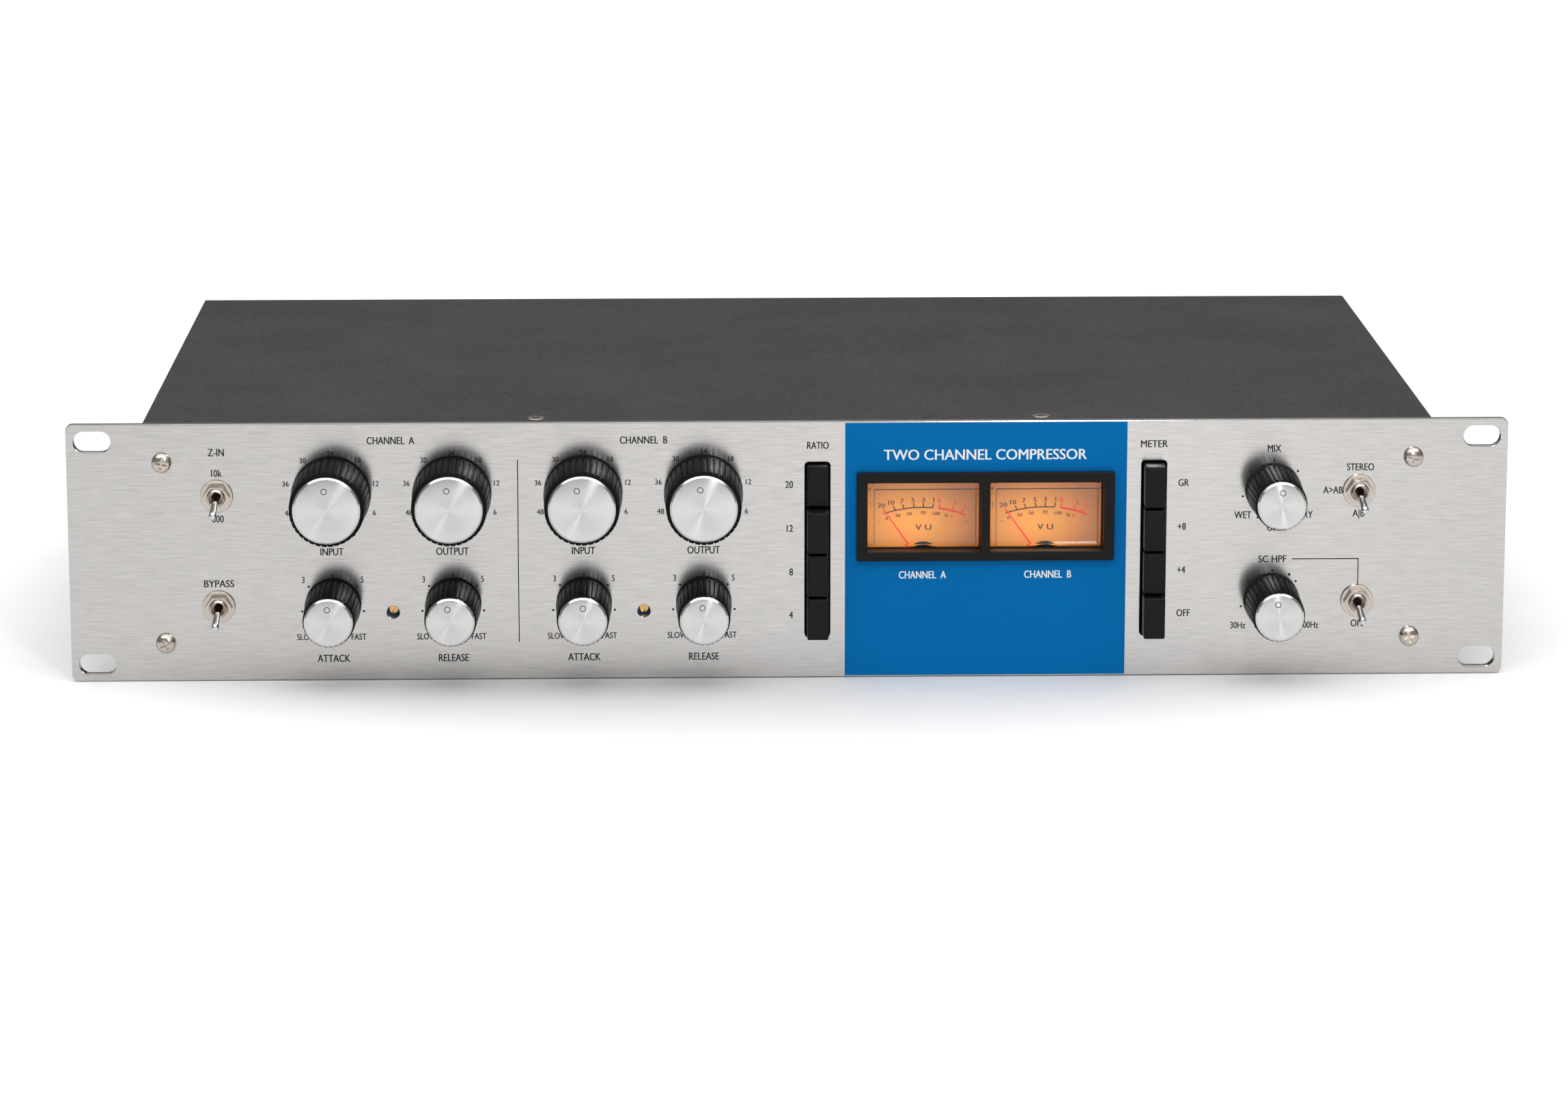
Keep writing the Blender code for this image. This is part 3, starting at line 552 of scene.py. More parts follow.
# Each has its name, slot, colour, roughness and metalness, and then, where speckled, contrast, scale and relief.
PANEL = Brushed("belt_grained_aluminium", "brushed_aluminium", (0.62, 0.603, 0.588), 0.15, 1.0,
                stretch=(110.0, 2200.0), contrast=0.22, relief=0.16, anisotropy=0.82)
CAP = Brushed("turned_aluminium", "brushed_aluminium", (0.71, 0.7, 0.69), 0.23, 1.0,
              stretch=(2.0, 5.0), contrast=0.08, relief=0.1, anisotropy=0.93, turned=True)
POWDER = Speckled("warm_grey_powder_coat", "powder_coat", (0.045, 0.041, 0.041), 0.55, 0.0, 0.5, 900.0, 0.6,
                  specular=0.25)
NICKEL = Speckled("warm_nickel", "nickel", (0.62, 0.555, 0.5), 0.24, 1.0, 0.08, 2500.0, 0.06)
CHROME = Speckled("bright_chrome", "chrome", (0.72, 0.72, 0.73), 0.08, 1.0, 0.03, 900.0, 0.01)
KNOB = Speckled("black_knob_moulding", "knob_plastic", (0.006, 0.006, 0.0065), 0.38, 0.0, 0.2, 2200.0, 0.08,
                specular=0.08)
SATIN = Speckled("satin_black_moulding", "black_plastic", (0.009, 0.0085, 0.0085), 0.36, 0.0, 0.2, 2600.0, 0.12,
                 specular=0.13)
BLUE = Speckled("blue_enamel", "brushed_aluminium", (0.0, 0.14, 0.4), 0.45, 0.0, 0.05, 1800.0, 0.08,
                specular=0.05)
BLACK_INK = Speckled("black_screen_ink", "brushed_aluminium", (0.01, 0.01, 0.011), 0.5, 0.0, 0.25, 3000.0, 0.1,
                     specular=0.2)
WHITE_INK = Speckled("white_screen_ink", "brushed_aluminium", (0.82, 0.83, 0.84), 0.5, 0.0, 0.04, 3000.0, 0.1)
DIAL_BLACK = Speckled("black_dial_ink", "amber_dial", (0.012, 0.009, 0.008), 0.6, 0.0, 0.25, 3000.0, 0.1)
# The red dial print and the needle carry a painted glow: neither is a lamp.
DIAL_RED = Speckled("red_dial_ink", "red_needle", (0.7, 0.012, 0.006), 0.5, 0.0, 0.1, 3000.0, 0.1, glow=0.55)
NEEDLE = Speckled("red_needle_lacquer", "red_needle", (0.8, 0.022, 0.01), 0.35, 0.0, 0.08, 2500.0, 0.05, glow=0.7)
GLASS = Clear("clear_meter_window", "clear_window", (1.0, 0.97, 0.92), 0.02)
BRASS = Speckled("turned_brass", "brass", (0.78, 0.5, 0.2), 0.25, 1.0, 0.12, 2500.0, 0.1)
NAVY = Speckled("navy_trimmer_moulding", "black_plastic", (0.012, 0.085, 0.24), 0.4, 0.0, 0.1, 2500.0, 0.05)
LAMINATE = Speckled("green_board_laminate", "circuit_board", (0.015, 0.11, 0.05), 0.35, 0.0, 0.2, 700.0, 0.1, 0.3)
LAMINATION = Speckled("core_laminations", "core_steel", (0.24, 0.235, 0.23), 0.42, 0.8, 0.25, 900.0, 0.25)
GOLD = Speckled("gilt_contact", "brass", (0.85, 0.62, 0.25), 0.18, 1.0, 0.05, 2500.0, 0.05)


# ---------------------------------------------------------------- outlines in the panel's plane (x, z)

def block(cx: float, cz: float, width: float, height: float, radius: float = 0.0, steps: int = 6) -> list[Point]:
    """A rectangle's outline with its corners turned on a radius.

    Args:
        cx: Its middle across.
        cz: Its middle in height.
        width: Its width.
        height: Its height.
        radius: The corners' radius.
        steps: How many chords make a corner.

    Returns:
        The outline.
    """
    x, z = width / 2 - radius, height / 2 - radius
    corners = ((x, -z, -90), (x, z, 0), (-x, z, 90), (-x, -z, 180))
    if radius <= 0:
        return [(cx + px, cz + pz) for px, pz, _ in corners]
    return [(cx + px + radius * cos(radians(start + 90 * i / steps)),
             cz + pz + radius * sin(radians(start + 90 * i / steps)))
            for px, pz, start in corners for i in range(steps + 1)]


def ring(cx: float, cz: float, radius: float, sides: int = 40) -> list[Point]:
    """A circle's outline."""
    return [(cx + radius * cos(tau * i / sides), cz + radius * sin(tau * i / sides)) for i in range(sides)]


def stroke(start: Point, end: Point, width: float) -> list[Point]:
    """A straight line's outline.

    Args:
        start: One end.
        end: The other end.
        width: Its width.

    Returns:
        The outline.
    """
    along = Vector((end[0] - start[0], end[1] - start[1])).normalized() * width / 2
    return [(start[0] + along.y, start[1] - along.x), (end[0] + along.y, end[1] - along.x),
            (end[0] - along.y, end[1] + along.x), (start[0] - along.y, start[1] + along.x)]


def bow(centre: Point, radius: float, start: float, end: float, width: float) -> list[Point]:
    """An arc's outline.

    Args:
        centre: The middle of its circle.
        radius: Its radius.
        start: Its first angle in degrees, clockwise from upright.
        end: Its last angle.
        width: Its width.

    Returns:
        The outline.
    """
    turns = [radians(start + (end - start) * i / 24) for i in range(25)]
    outer = [(centre[0] + (radius + width / 2) * sin(a), centre[1] + (radius + width / 2) * cos(a)) for a in turns]
    inner = [(centre[0] + (radius - width / 2) * sin(a), centre[1] + (radius - width / 2) * cos(a)) for a in turns]
    return outer + inner[::-1]


# ---------------------------------------------------------------- meshes

def evaluated(item: bpy.types.Object) -> bmesh.types.BMesh:
    """What an object looks like with its modifiers and curve settings applied.

    Args:
        item: A scratch object, which is removed.

    Returns:
        Its mesh.
    """
    graph = bpy.context.evaluated_depsgraph_get()
    mesh = bpy.data.meshes.new_from_object(item.evaluated_get(graph), depsgraph=graph)
    bm = bmesh.new()
    bm.from_mesh(mesh)
    bpy.data.meshes.remove(mesh)
    bpy.data.objects.remove(item)
    return bm


def scratch(name: str, data: bpy.types.ID | bmesh.types.BMesh) -> bpy.types.Object:
    """Put data in the scene for a moment.

    Args:
        name: A name for it.
        data: A curve, mesh or bmesh; a bmesh is used up.

    Returns:
        The scratch object.
    """
    if isinstance(data, bmesh.types.BMesh):
        mesh = bpy.data.meshes.new(name)
        data.to_mesh(mesh)
        data.free()
        data = mesh
    item = bpy.data.objects.new(name, data)
    bpy.context.scene.collection.objects.link(item)
    return item


def upright(bm: bmesh.types.BMesh, depth: float) -> bmesh.types.BMesh:
    """Stand a flat shape up to face the front.

    Args:
        bm: A shape in metres, drawn in x and y.
        depth: The depth of its middle, in millimetres.

    Returns:
        The same mesh, closed and in place.
    """
    bmesh.ops.transform(bm, matrix=Matrix.Translation((0, FACE_Y + depth * MM, 0)) @ Matrix.Rotation(pi / 2, 4, "X"),
                        verts=bm.verts)
    bmesh.ops.remove_doubles(bm, verts=bm.verts, dist=0.0005 * MM)
    bmesh.ops.recalc_face_normals(bm, faces=bm.faces)
    return bm


def plate(loops: Iterable[Loop], near: float, far: float, bevel: float = 0.0) -> bmesh.types.BMesh:
    """Sheet cut to any number of outlines, where an outline inside another is a hole.

    Args:
        loops: The outlines.
        near: The depth of its front.
        far: The depth of its back.
        bevel: How far its edges are eased.

    Returns:
        The mesh.
    """
    curve = bpy.data.curves.new("plate", "CURVE")
    curve.dimensions, curve.fill_mode = "2D", "BOTH"
    for loop in loops:
        spline = curve.splines.new("POLY")
        spline.points.add(len(loop) - 1)
        for point, (x, z) in zip(spline.points, loop):
            point.co = (x * MM, z * MM, 0, 1)
        spline.use_cyclic_u = True
    curve.extrude = ((far - near) / 2 - bevel) * MM
    curve.bevel_depth, curve.bevel_resolution, curve.offset = bevel * MM, 1, -bevel * MM
    return upright(evaluated(scratch("plate", curve)), (near + far) / 2)


def lathe(profile: Sequence[Point], sides: int, at: Triple = (0, 0, 0)) -> bmesh.types.BMesh:
    """A turned shape whose grain map runs round its axis.

    Args:
        profile: (radius, depth) points from its front to its back; it is closed if it starts and ends alike.
        sides: How many sides it has.
        at: Where its axis is, as (x, depth, z).

    Returns:
        The mesh.
    """
    bm = bmesh.new()
    grain = bm.loops.layers.uv.new("grain")
    centre = spot(*at)
    closed = profile[0] == profile[-1] and profile[0][0] > 0
    rows = []
    for radius, along in profile[:-1] if closed else profile:
        turns = range(sides) if radius > 0 else range(1)
        rows.append([bm.verts.new(centre + Vector((radius * sin(tau * i / sides), along, radius * cos(tau * i / sides)))
                                  * MM) for i in turns])
    if closed:
        rows.append(rows[0])
    travel = 0.0
    for step in range(len(rows) - 1):
        one, two = rows[step], rows[step + 1]
        length = math.dist(profile[step], profile[step + 1])
        for i in range(sides):
            j = (i + 1) % sides
            corners = [(one[i % len(one)], i, travel), (one[j % len(one)], i + 1, travel),
                       (two[j % len(two)], i + 1, travel + length), (two[i % len(two)], i, travel + length)]
            kept = []
            for corner in corners:
                if corner[0] not in [other[0] for other in kept]:
                    kept.append(corner)
            if len(kept) < 3:
                continue
            face = bm.faces.new([vert for vert, _, _ in kept])
            for loop, (_, u, v) in zip(face.loops, kept):
                loop[grain].uv = (u / sides, v)
        travel += length
    bmesh.ops.recalc_face_normals(bm, faces=bm.faces)
    return bm


def brick(x: Point, depth: Point, z: Point, bevel: float = 0.0) -> bmesh.types.BMesh:
    """A block with its edges rounded.

    Args:
        x: Its (low, high) across.
        depth: Its (low, high) in depth.
        z: Its (low, high) in height.
        bevel: The radius of its edges.

    Returns:
        The mesh.
    """
    bm = bmesh.new()
    bmesh.ops.create_cube(bm, size=1.0)
    size = Matrix.Diagonal(((x[1] - x[0]) * MM, (depth[1] - depth[0]) * MM, (z[1] - z[0]) * MM, 1))
    bmesh.ops.transform(bm, matrix=Matrix.Translation(spot(middle(x), middle(depth), middle(z))) @ size,
                        verts=bm.verts)
    if bevel:
        bmesh.ops.bevel(bm, geom=bm.edges[:], offset=bevel * MM, segments=3, affect="EDGES", profile=0.5)
    return bm


def joined(*parts: bmesh.types.BMesh) -> bmesh.types.BMesh:
    """Several meshes in one.

    Args:
        parts: The meshes; they are used up.

    Returns:
        The one that holds them all.
    """
    whole = bmesh.new()
    for part in parts:
        mesh = bpy.data.meshes.new("part")
        part.to_mesh(mesh)
        part.free()
        whole.from_mesh(mesh)
        bpy.data.meshes.remove(mesh)
    return whole


def turned_about(bm: bmesh.types.BMesh, at: Vector, axis: str, angle: float) -> bmesh.types.BMesh:
    """Turn a mesh about a point.

    Args:
        bm: The mesh.
        at: The point, in metres.
        axis: The axis' letter.
        angle: The angle in degrees.

    Returns:
        The same mesh.
    """
    bmesh.ops.rotate(bm, verts=bm.verts, cent=at, matrix=Matrix.Rotation(radians(angle), 3, axis))
    return bm


def carved(bm: bmesh.types.BMesh, *tools: bmesh.types.BMesh) -> bmesh.types.BMesh:
    """Cut shapes out of a mesh.

    Args:
        bm: The mesh to cut.
        tools: The shapes to take away.

    Returns:
        What is left.
    """
    item = scratch("carved", bm)
    cutters = [scratch("cutter", tool) for tool in tools]
    for cutter in cutters:
        modifier = item.modifiers.new("cut", "BOOLEAN")
        modifier.operation, modifier.solver, modifier.object = "DIFFERENCE", "EXACT", cutter
    left = evaluated(item)
    for cutter in cutters:
        bpy.data.objects.remove(cutter)
    return left


def grown(tree: bpy.types.NodeTree, source: bmesh.types.BMesh, finish: Finish, points: Iterable[Vector] = (),
          **inputs: object) -> bmesh.types.BMesh:
    """Let a geometry tree repeat a shape, and keep the result as a plain mesh.

    Args:
        tree: The geometry tree.
        source: The shape to repeat.
        finish: Its finish.
        points: Where the tree puts it, if the tree works from points.
        inputs: The tree's other named inputs.

    Returns:
        The repeated mesh.
    """
    shape = scratch("source", source)
    host_mesh = bpy.data.meshes.new("host")
    host_mesh.from_pydata([tuple(point) for point in points], [], [])
    host = scratch("host", host_mesh)
    modifier = host.modifiers.new("grow", "NODES")
    modifier.node_group = tree
    given = {"Source": shape, "Finish": finish.material(), **inputs}
    for item in tree.interface.items_tree:
        if item.in_out == "INPUT" and item.name in given:
            modifier[item.identifier] = given[item.name]
    bm = evaluated(host)
    bpy.data.objects.remove(shape)
    return bm


@dataclass(frozen=True)
class Word:
    """A short piece of generic lettering or a number."""

    text: str
    x: float
    z: float
    cap: float
    side: Side = Side.MIDDLE
    width: float | None = None
    narrow: float = 0.76


TEXT_DEPTH = 0.02   # how thick a word is before it is scaled
LAYER_STEP = 0.006   # how far the second copy of a word stands in front of the first


def _flat_text(text: str) -> bmesh.types.BMesh:
    """A word's filled outline at size one.

    Args:
        text: The word.

    Returns:
        The mesh, flat in x and y, with a hair's thickness.
    """
    curve = bpy.data.curves.new("word", "FONT")
    curve.body, curve.size, curve.extrude, curve.resolution_u = text, 1.0, TEXT_DEPTH / 2, 3
    return evaluated(scratch("word", curve))


def lettering(words: Iterable[Word], depth: float, thickness: float = 0.03, bold: float = 0.05) -> bmesh.types.BMesh:
    """Printed words as thin solids.

    Args:
        words: What to print, and where.
        depth: The depth of the printed surface.
        thickness: How thick the ink is.
        bold: How much wider the strokes are made, as a share of a capital's height.

    Returns:
        One mesh with every word.
    """
    sample = _flat_text("H")
    cap_height = max(vert.co.y for vert in sample.verts) - min(vert.co.y for vert in sample.verts)
    sample.free()
    parts = []
    for word in words:
        for layer, nudge in enumerate((-bold / 2, bold / 2)):
            bm = _flat_text(word.text)
            low, high = min(v.co.x for v in bm.verts), max(v.co.x for v in bm.verts)
            tall = word.cap / cap_height
            wide = word.width / (high - low) if word.width else tall * word.narrow
            for vert in bm.verts:
                x = (vert.co.x - low - (high - low) * word.side.value) * wide + word.x + nudge * word.cap
                z = (vert.co.y - cap_height / 2) * tall + word.z
                vert.co = Vector((x, z, vert.co.z / TEXT_DEPTH * thickness)) * MM
            parts.append(upright(bm, depth - thickness / 2 - LAYER_STEP * layer))
    return joined(*parts)


def piece(name: str, bm: bmesh.types.BMesh, finish: Finish, body: str = "chassis",
          replaces: Iterable[str] = (), smooth: float = 32.0) -> bpy.types.Object:
    """Finish a piece: its object, its surface, and the body that it moves with.

    Args:
        name: The piece's name.
        bm: Its mesh, which is used up.
        finish: Its finish.
        body: The CAD body that carries it.
        replaces: The CAD nodes that it stands for.
        smooth: The angle in degrees past which an edge stays sharp.

    Returns:
        The object.
    """
    mesh = bpy.data.meshes.new(name)
    bm.to_mesh(mesh)
    bm.free()
    mesh.materials.clear()
    mesh.materials.append(finish.material())
    mesh.polygons.foreach_set("material_index", [0] * len(mesh.polygons))
    mesh.shade_smooth()
    mesh.set_sharp_from_angle(angle=radians(smooth))
    item = bpy.data.objects.new(name, mesh)
    bpy.context.scene.collection.objects.link(item)
    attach(item, body)
    nodes = list(replaces)
    if nodes:
        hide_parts(*nodes)
    log.info("%s: %d faces on %s%s", name, len(mesh.polygons), body, f", for {', '.join(nodes)}" if nodes else "")
    return item


def dress(finish: Finish, *nodes: str) -> None:
    """Give CAD nodes that stay their finish.

    Args:
        finish: The finish.
        nodes: The nodes' names.
    """
    for node in nodes:
        item = frame["nodes"][node]
        item.data.materials.clear()
        item.data.materials.append(finish.material())
        log.info("%s: dressed in %s", node, finish.name)


def cross_head(radius: float, height: float, flat: bool = False) -> bmesh.types.BMesh:
    """A screw head with a cross recess, facing the front with its seat at the panel's face.

    Args:
        radius: The head's radius.
        height: How far it stands proud.
        flat: Whether it is a countersunk head with a flat top.

    Returns:
        The mesh, about the world's origin.
    """
    back = -FACE_Y / MM
    if flat:
        profile = [(0, -height), (radius - 0.15, -height), (radius, -height + 0.12), (radius, 0.2), (0, 0.2)]
    else:
        profile = [(0, -height), (radius * 0.4, -height * 0.97), (radius * 0.75, -height * 0.8),
                   (radius * 0.95, -height * 0.45), (radius, -height * 0.1), (radius, 0.3), (0, 0.3)]
    head = lathe(profile, 40, (0, back, 0))
    arms = []
    for turn in (0, 90):
        arm = brick((-radius * 0.55, radius * 0.55), (back - height - 1, back - height + 1.1),
                    (-radius * 0.11, radius * 0.11))
        arms.append(turned_about(arm, ORIGIN, "Y", turn))
    return carved(head, *arms)


def screws(name: str, facing: Facing, head: bmesh.types.BMesh, points: Iterable[Vector], seed: int,
           replaces: Iterable[str] = ()) -> None:
    """Set a nickel screw on each point, each at its own chance angle.

    Args:
        name: The piece's name.
        facing: Which way the heads look.
        head: One head that faces the front; it is used up.
        points: Where the screws go.
        seed: The seed of their angles.
        replaces: The CAD nodes that they stand for.
    """
    letter, angle, axis = facing.value
    turned_about(head, ORIGIN, letter, angle)
    piece(name, grown(FASTENERS, head, NICKEL, points, Axis=axis, Seed=seed), NICKEL, replaces=replaces)


# ---------------------------------------------------------------- the front panel

@dataclass
class FrontPanel:
    """The grained plate, its blue field and everything printed on it."""

    corner: float = 2.2
    slot_size: Point = (12.4, 7.0)
    slot_pitch: Point = (465.1, 76.2)
    cutout: Point = (8.3, 60.2)
    ease: float = 0.25
    field: Triple = (18.6, 113.2, 87.5)
    holes: tuple[tuple[str, float, int], ...] = (("knob", 4.3, 40), ("lever", 3.3, 28), ("trimmer", 2.1, 28))
    screw_hole: float = 2.2
    label_heights: Point = (44.2, 7.4)
    rule: float = 0.33
    dial_radius: float = 14.35
    dot_radius: float = 10.5
    blue_words: tuple[Word, ...] = (
        Word("TWO CHANNEL COMPRESSOR", 65.6, 76.5, 3.5, width=68.0),
        Word("CHANNEL  A", 44.7, 35.2, 2.5, width=15.8), Word("CHANNEL  B", 86.9, 35.2, 2.5, width=15.8))
    words: tuple[Word, ...] = (
        Word("Z-IN", -191.4, 78.4, 2.5), Word("10k", -191.4, 71.3, 2.4), Word("600", -191.2, 55.7, 2.4),
        Word("BYPASS", -191.3, 33.4, 2.4, width=10.0), Word("CHANNEL  A", -133.2, 82.2, 2.5, width=15.8),
        Word("CHANNEL  B", -48.8, 82.0, 2.5, width=15.8), Word("RATIO", 9.5, 79.9, 2.4, width=7.2),
        Word("METER", 122.3, 79.9, 2.4, width=9.0), Word("GR", 130.6, 66.5, 2.4, Side.LEFT),
        Word("+8", 130.6, 51.4, 2.4, Side.LEFT), Word("+4", 130.6, 36.4, 2.4, Side.LEFT),
        Word("OFF", 130.6, 21.5, 2.4, Side.LEFT, 4.5), Word("20", 1.1, 66.5, 2.4, Side.RIGHT),
        Word("12", 1.1, 51.4, 2.4, Side.RIGHT), Word("8", 1.1, 36.4, 2.4, Side.RIGHT),
        Word("4", 1.1, 21.5, 2.4, Side.RIGHT), Word("MIX", 162.7, 78.1, 2.4),
        Word("WET", 149.6, 55.3, 2.4, Side.LEFT), Word("DRY", 176.0, 55.3, 2.4, Side.RIGHT),
        Word("STEREO", 191.8, 71.6, 2.4), Word("A>AB", 182.7, 63.7, 2.4), Word("A|B", 189.5, 55.7, 2.4, Side.LEFT),
        Word("SC HPF", 162.7, 40.0, 2.4, width=9.4), Word("30Hz", 151.4, 17.1, 2.2),
        Word("300Hz", 178.7, 17.1, 2.2, Side.RIGHT), Word("ON", 189.7, 17.6, 2.4, Side.LEFT),
        Word("OFF", 160.7, 50.9, 2.4, Side.LEFT))
    knob_words: tuple[tuple[str, str], ...] = (("input", "INPUT"), ("output", "OUTPUT"), ("attack", "ATTACK"),
                                               ("release", "RELEASE"))
    scale: tuple[tuple[str, float], ...] = (("24", 0), ("18", 37.5), ("12", 75), ("6", 112.5), ("0", 150),
                                            ("30", -37.5), ("36", -75), ("48", -112.5), ("∞", -150))

    def build(self) -> None:
        """Build the plate, the blue field and the legends."""
        (left, right), (front, back), (low, high) = extent("front_panel")
        width, height = right - left, high - low
        loops = [block(0, middle((low, high)), width, height, self.corner, 8)]
        for x in (-self.slot_pitch[0] / 2, self.slot_pitch[0] / 2):
            for z in (-self.slot_pitch[1] / 2, self.slot_pitch[1] / 2):
                loops.append(block(x, middle((low, high)) + z, *self.slot_size, self.slot_size[1] / 2 - 0.01, 12))
        for kind, radius, sides in self.holes:
            loops += [ring(*axis_of(name), radius, sides) for name in JOINTS if name.startswith(kind)]
        columns = [middle(extent(name)[0]) for name in ("ratio_switch_bank", "meter_switch_bank")]
        loops += [block(x, middle((low, high)), *self.cutout, 1.2) for x in columns]
        loops.append(self.meter_hole())
        loops += [ring(*centre_of(name), self.screw_hole, 24) for name in PANEL_SCREWS]
        bm = plate(loops, front, back, self.ease)
        grain = bm.loops.layers.uv.new("grain")
        for face in bm.faces:
            for loop in face.loops:
                loop[grain].uv = (loop.vert.co.x + loop.vert.co.y * 0.1, loop.vert.co.z + loop.vert.co.y)
        piece("panel_plate", bm, PANEL, replaces=["front_panel"], smooth=14)
        x0, x1, top = self.field
        sheet = plate([block(middle((x0, x1)), (top + 0.4) / 2, x1 - x0, top - 0.4), self.meter_hole()], -0.05, 0.15)
        piece("blue_field", sheet, BLUE, smooth=14)
        piece("white_legends", lettering(self.blue_words, -0.04), WHITE_INK)
        self.legends()

    def meter_hole(self) -> list[Point]:
        """The cut-out behind the meters' bezel.

        Returns:
            Its outline.
        """
        windows = [extent(f"meter_window_{channel}") for channel in "ab"]
        x0, x1 = windows[0][0][0] - 1.6, windows[1][0][1] + 1.6
        z0, z1 = windows[0][2][0] - 0.7, windows[0][2][1] + 0.7
        return block(middle((x0, x1)), middle((z0, z1)), x1 - x0, z1 - z0, 0.8)

    def legends(self) -> None:
        """Print the words, the scales, the dots and the rules in black."""
        words = list(self.words)
        upper, lower = self.label_heights
        dots = []
        for name in JOINTS:
            if not name.startswith("knob"):
                continue
            x, z = axis_of(name)
            kind = name.split("_")[1]
            for key, text in self.knob_words:
                if kind == key:
                    words.append(Word(text, x, upper if z > upper else lower, 2.5))
            if kind in ("input", "output"):
                for text, turn in self.scale:
                    reach = self.dial_radius + 1.3 * abs(sin(radians(turn)))
                    words.append(Word(text, x + reach * sin(radians(turn)), z + reach * cos(radians(turn)), 1.8,
                                      narrow=0.9))
                continue
            if kind in ("attack", "release"):
                words += [Word("3", x - 9.8, z + 9.1, 2.1), Word("5", x + 9.9, z + 9.1, 2.1),
                          Word("SLOW", x - 12.2, 14.8, 2.1, Side.LEFT), Word("FAST", x + 11, 14.8, 2.1, Side.RIGHT)]
            dot = lathe([(0, -0.03), (0.38, -0.03), (0.38, 0.1), (0, 0.1)], 16, (0, -FACE_Y / MM, self.dot_radius))
            dots.append(grown(COPIES, dot, BLACK_INK, Count=7, Start=radians(-150), Step=radians(50), Rise=0.0,
                              Centre=tuple(spot(x, 0, z))))
        dots.append(lathe([(0, -0.03), (0.45, -0.03), (0.45, 0.1), (0, 0.1)], 16, (168.5, 0, 34.6)))
        piece("scale_dots", joined(*dots), BLACK_INK)
        piece("black_legends", lettering(words, 0.0), BLACK_INK)
        rules = [stroke((-91, 12.7), (-91, 75.4), self.rule), stroke((169.3, 40), (191.8, 40), self.rule),
                 stroke((191.7, 40), (191.7, 30.4), self.rule)]
        piece("printed_rules", joined(*[plate([rule], -0.03, 0.1) for rule in rules]), BLACK_INK)


@dataclass
class PanelScrews:
    """Four cross-headed screws that hold the panel to the case."""

    radius: float = 3.4
    height: float = 2.2
    seat: float = -0.3
    seed: int = 4

    def build(self) -> None:
        """Set one screw where each CAD screw is."""
        points = [spot(x, self.seat, z) for x, z in map(centre_of, PANEL_SCREWS)]
        screws("panel_screws", Facing.FRONT, cross_head(self.radius, self.height), points, self.seed, PANEL_SCREWS)


# ---------------------------------------------------------------- controls

@dataclass
class Knob:
    """A black fluted knob with a turned aluminium cap and a ring for its pointer."""

    name: str
    cap_r: float
    front_r: float
    base_r: float
    flutes: int
    groove: float
    pointer: float
    reach: float = 24.0
    rise: float = 1.5
    back: float = 2.6

    @classmethod
    def large(cls, name: str) -> "Knob":
        """One of the knobs in the upper row."""
        return cls(name, cap_r=11.25, front_r=12.45, base_r=13.1, flutes=36, groove=0.42, pointer=6.66)

    @classmethod
    def small(cls, name: str) -> "Knob":
        """One of the knobs in the lower row, or the mix knob."""
        return cls(name, cap_r=8.15, front_r=8.62, base_r=9.25, flutes=30, groove=0.38, pointer=4.55)

    def rest(self) -> float:
        """Where its pointer stands at rest, in degrees clockwise from upright."""
        low, high = JOINTS[self.name]["range_deg"]
        return -(low + high) / 2

    def flute(self) -> bmesh.types.BMesh:
        """One flat facet of the grip, at the top of the knob.

        Returns:
            The mesh, about the world's origin.
        """
        shift = -FACE_Y / MM
        start, end = shift - self.back - 0.9, shift - self.reach + self.rise + 0.25
        rib = brick((-1, 1), (end, start), (self.front_r - 2, self.base_r))
        for vert in rib.verts:
            front = vert.co.y < (start + end) / 2 * MM + FACE_Y
            outer = self.front_r if front else self.base_r
            half = (pi * outer / self.flutes) - self.groove / 2
            vert.co.x = math.copysign(half * MM, vert.co.x)
            if vert.co.z > (self.front_r - 1) * MM:
                vert.co.z = outer * MM
        bmesh.ops.bevel(rib, geom=rib.edges[:], offset=0.14 * MM, segments=2, affect="EDGES", profile=0.5)
        return rib

    def build(self) -> None:
        """Build the body with its flutes, the cap and the pointer's ring."""
        x, z = axis_of(self.name)
        shoulder = self.reach - self.rise
        at = (x, 0, z)
        core = lathe([(0, -shoulder), (self.front_r - 0.55, -shoulder), (self.front_r - 0.42, -shoulder + 0.15),
                      (self.base_r - 0.5, -self.back - 0.8), (self.base_r + 0.08, -self.back - 0.72),
                      (self.base_r + 0.12, -self.back - 0.4), (self.base_r + 0.08, -self.back), (0, -self.back)],
                     2 * self.flutes, at)
        grip = grown(COPIES, self.flute(), KNOB, Count=self.flutes, Start=radians(self.rest()),
                     Step=tau / self.flutes, Rise=0.0, Centre=tuple(spot(x, 0, z)))
        piece(f"{self.name}_grip", joined(core, grip), KNOB, self.name, [self.name])
        cap = lathe([(0, -self.reach), (2.0, -self.reach), (self.cap_r * 0.55, -self.reach),
                     (self.cap_r - 0.75, -self.reach), (self.cap_r - 0.62, -self.reach + 0.03),
                     (self.cap_r - 0.05, -self.reach + 0.5), (self.cap_r, -self.reach + 0.6),
                     (self.cap_r, -shoulder + 0.2), (0, -shoulder + 0.2)], 96, at)
        piece(f"{self.name}_cap", cap, CAP, self.name, smooth=20)
        mark = lathe([(0.81, -self.reach - 0.02), (1.05, -self.reach - 0.02), (1.05, -self.reach + 0.05),
                      (0.81, -self.reach + 0.05), (0.81, -self.reach - 0.02)], 32, (x, 0, z + self.pointer))
        turned_about(mark, spot(x, 0, z), "Y", self.rest())
        piece(f"{self.name}_mark", mark, BLACK_INK, self.name)


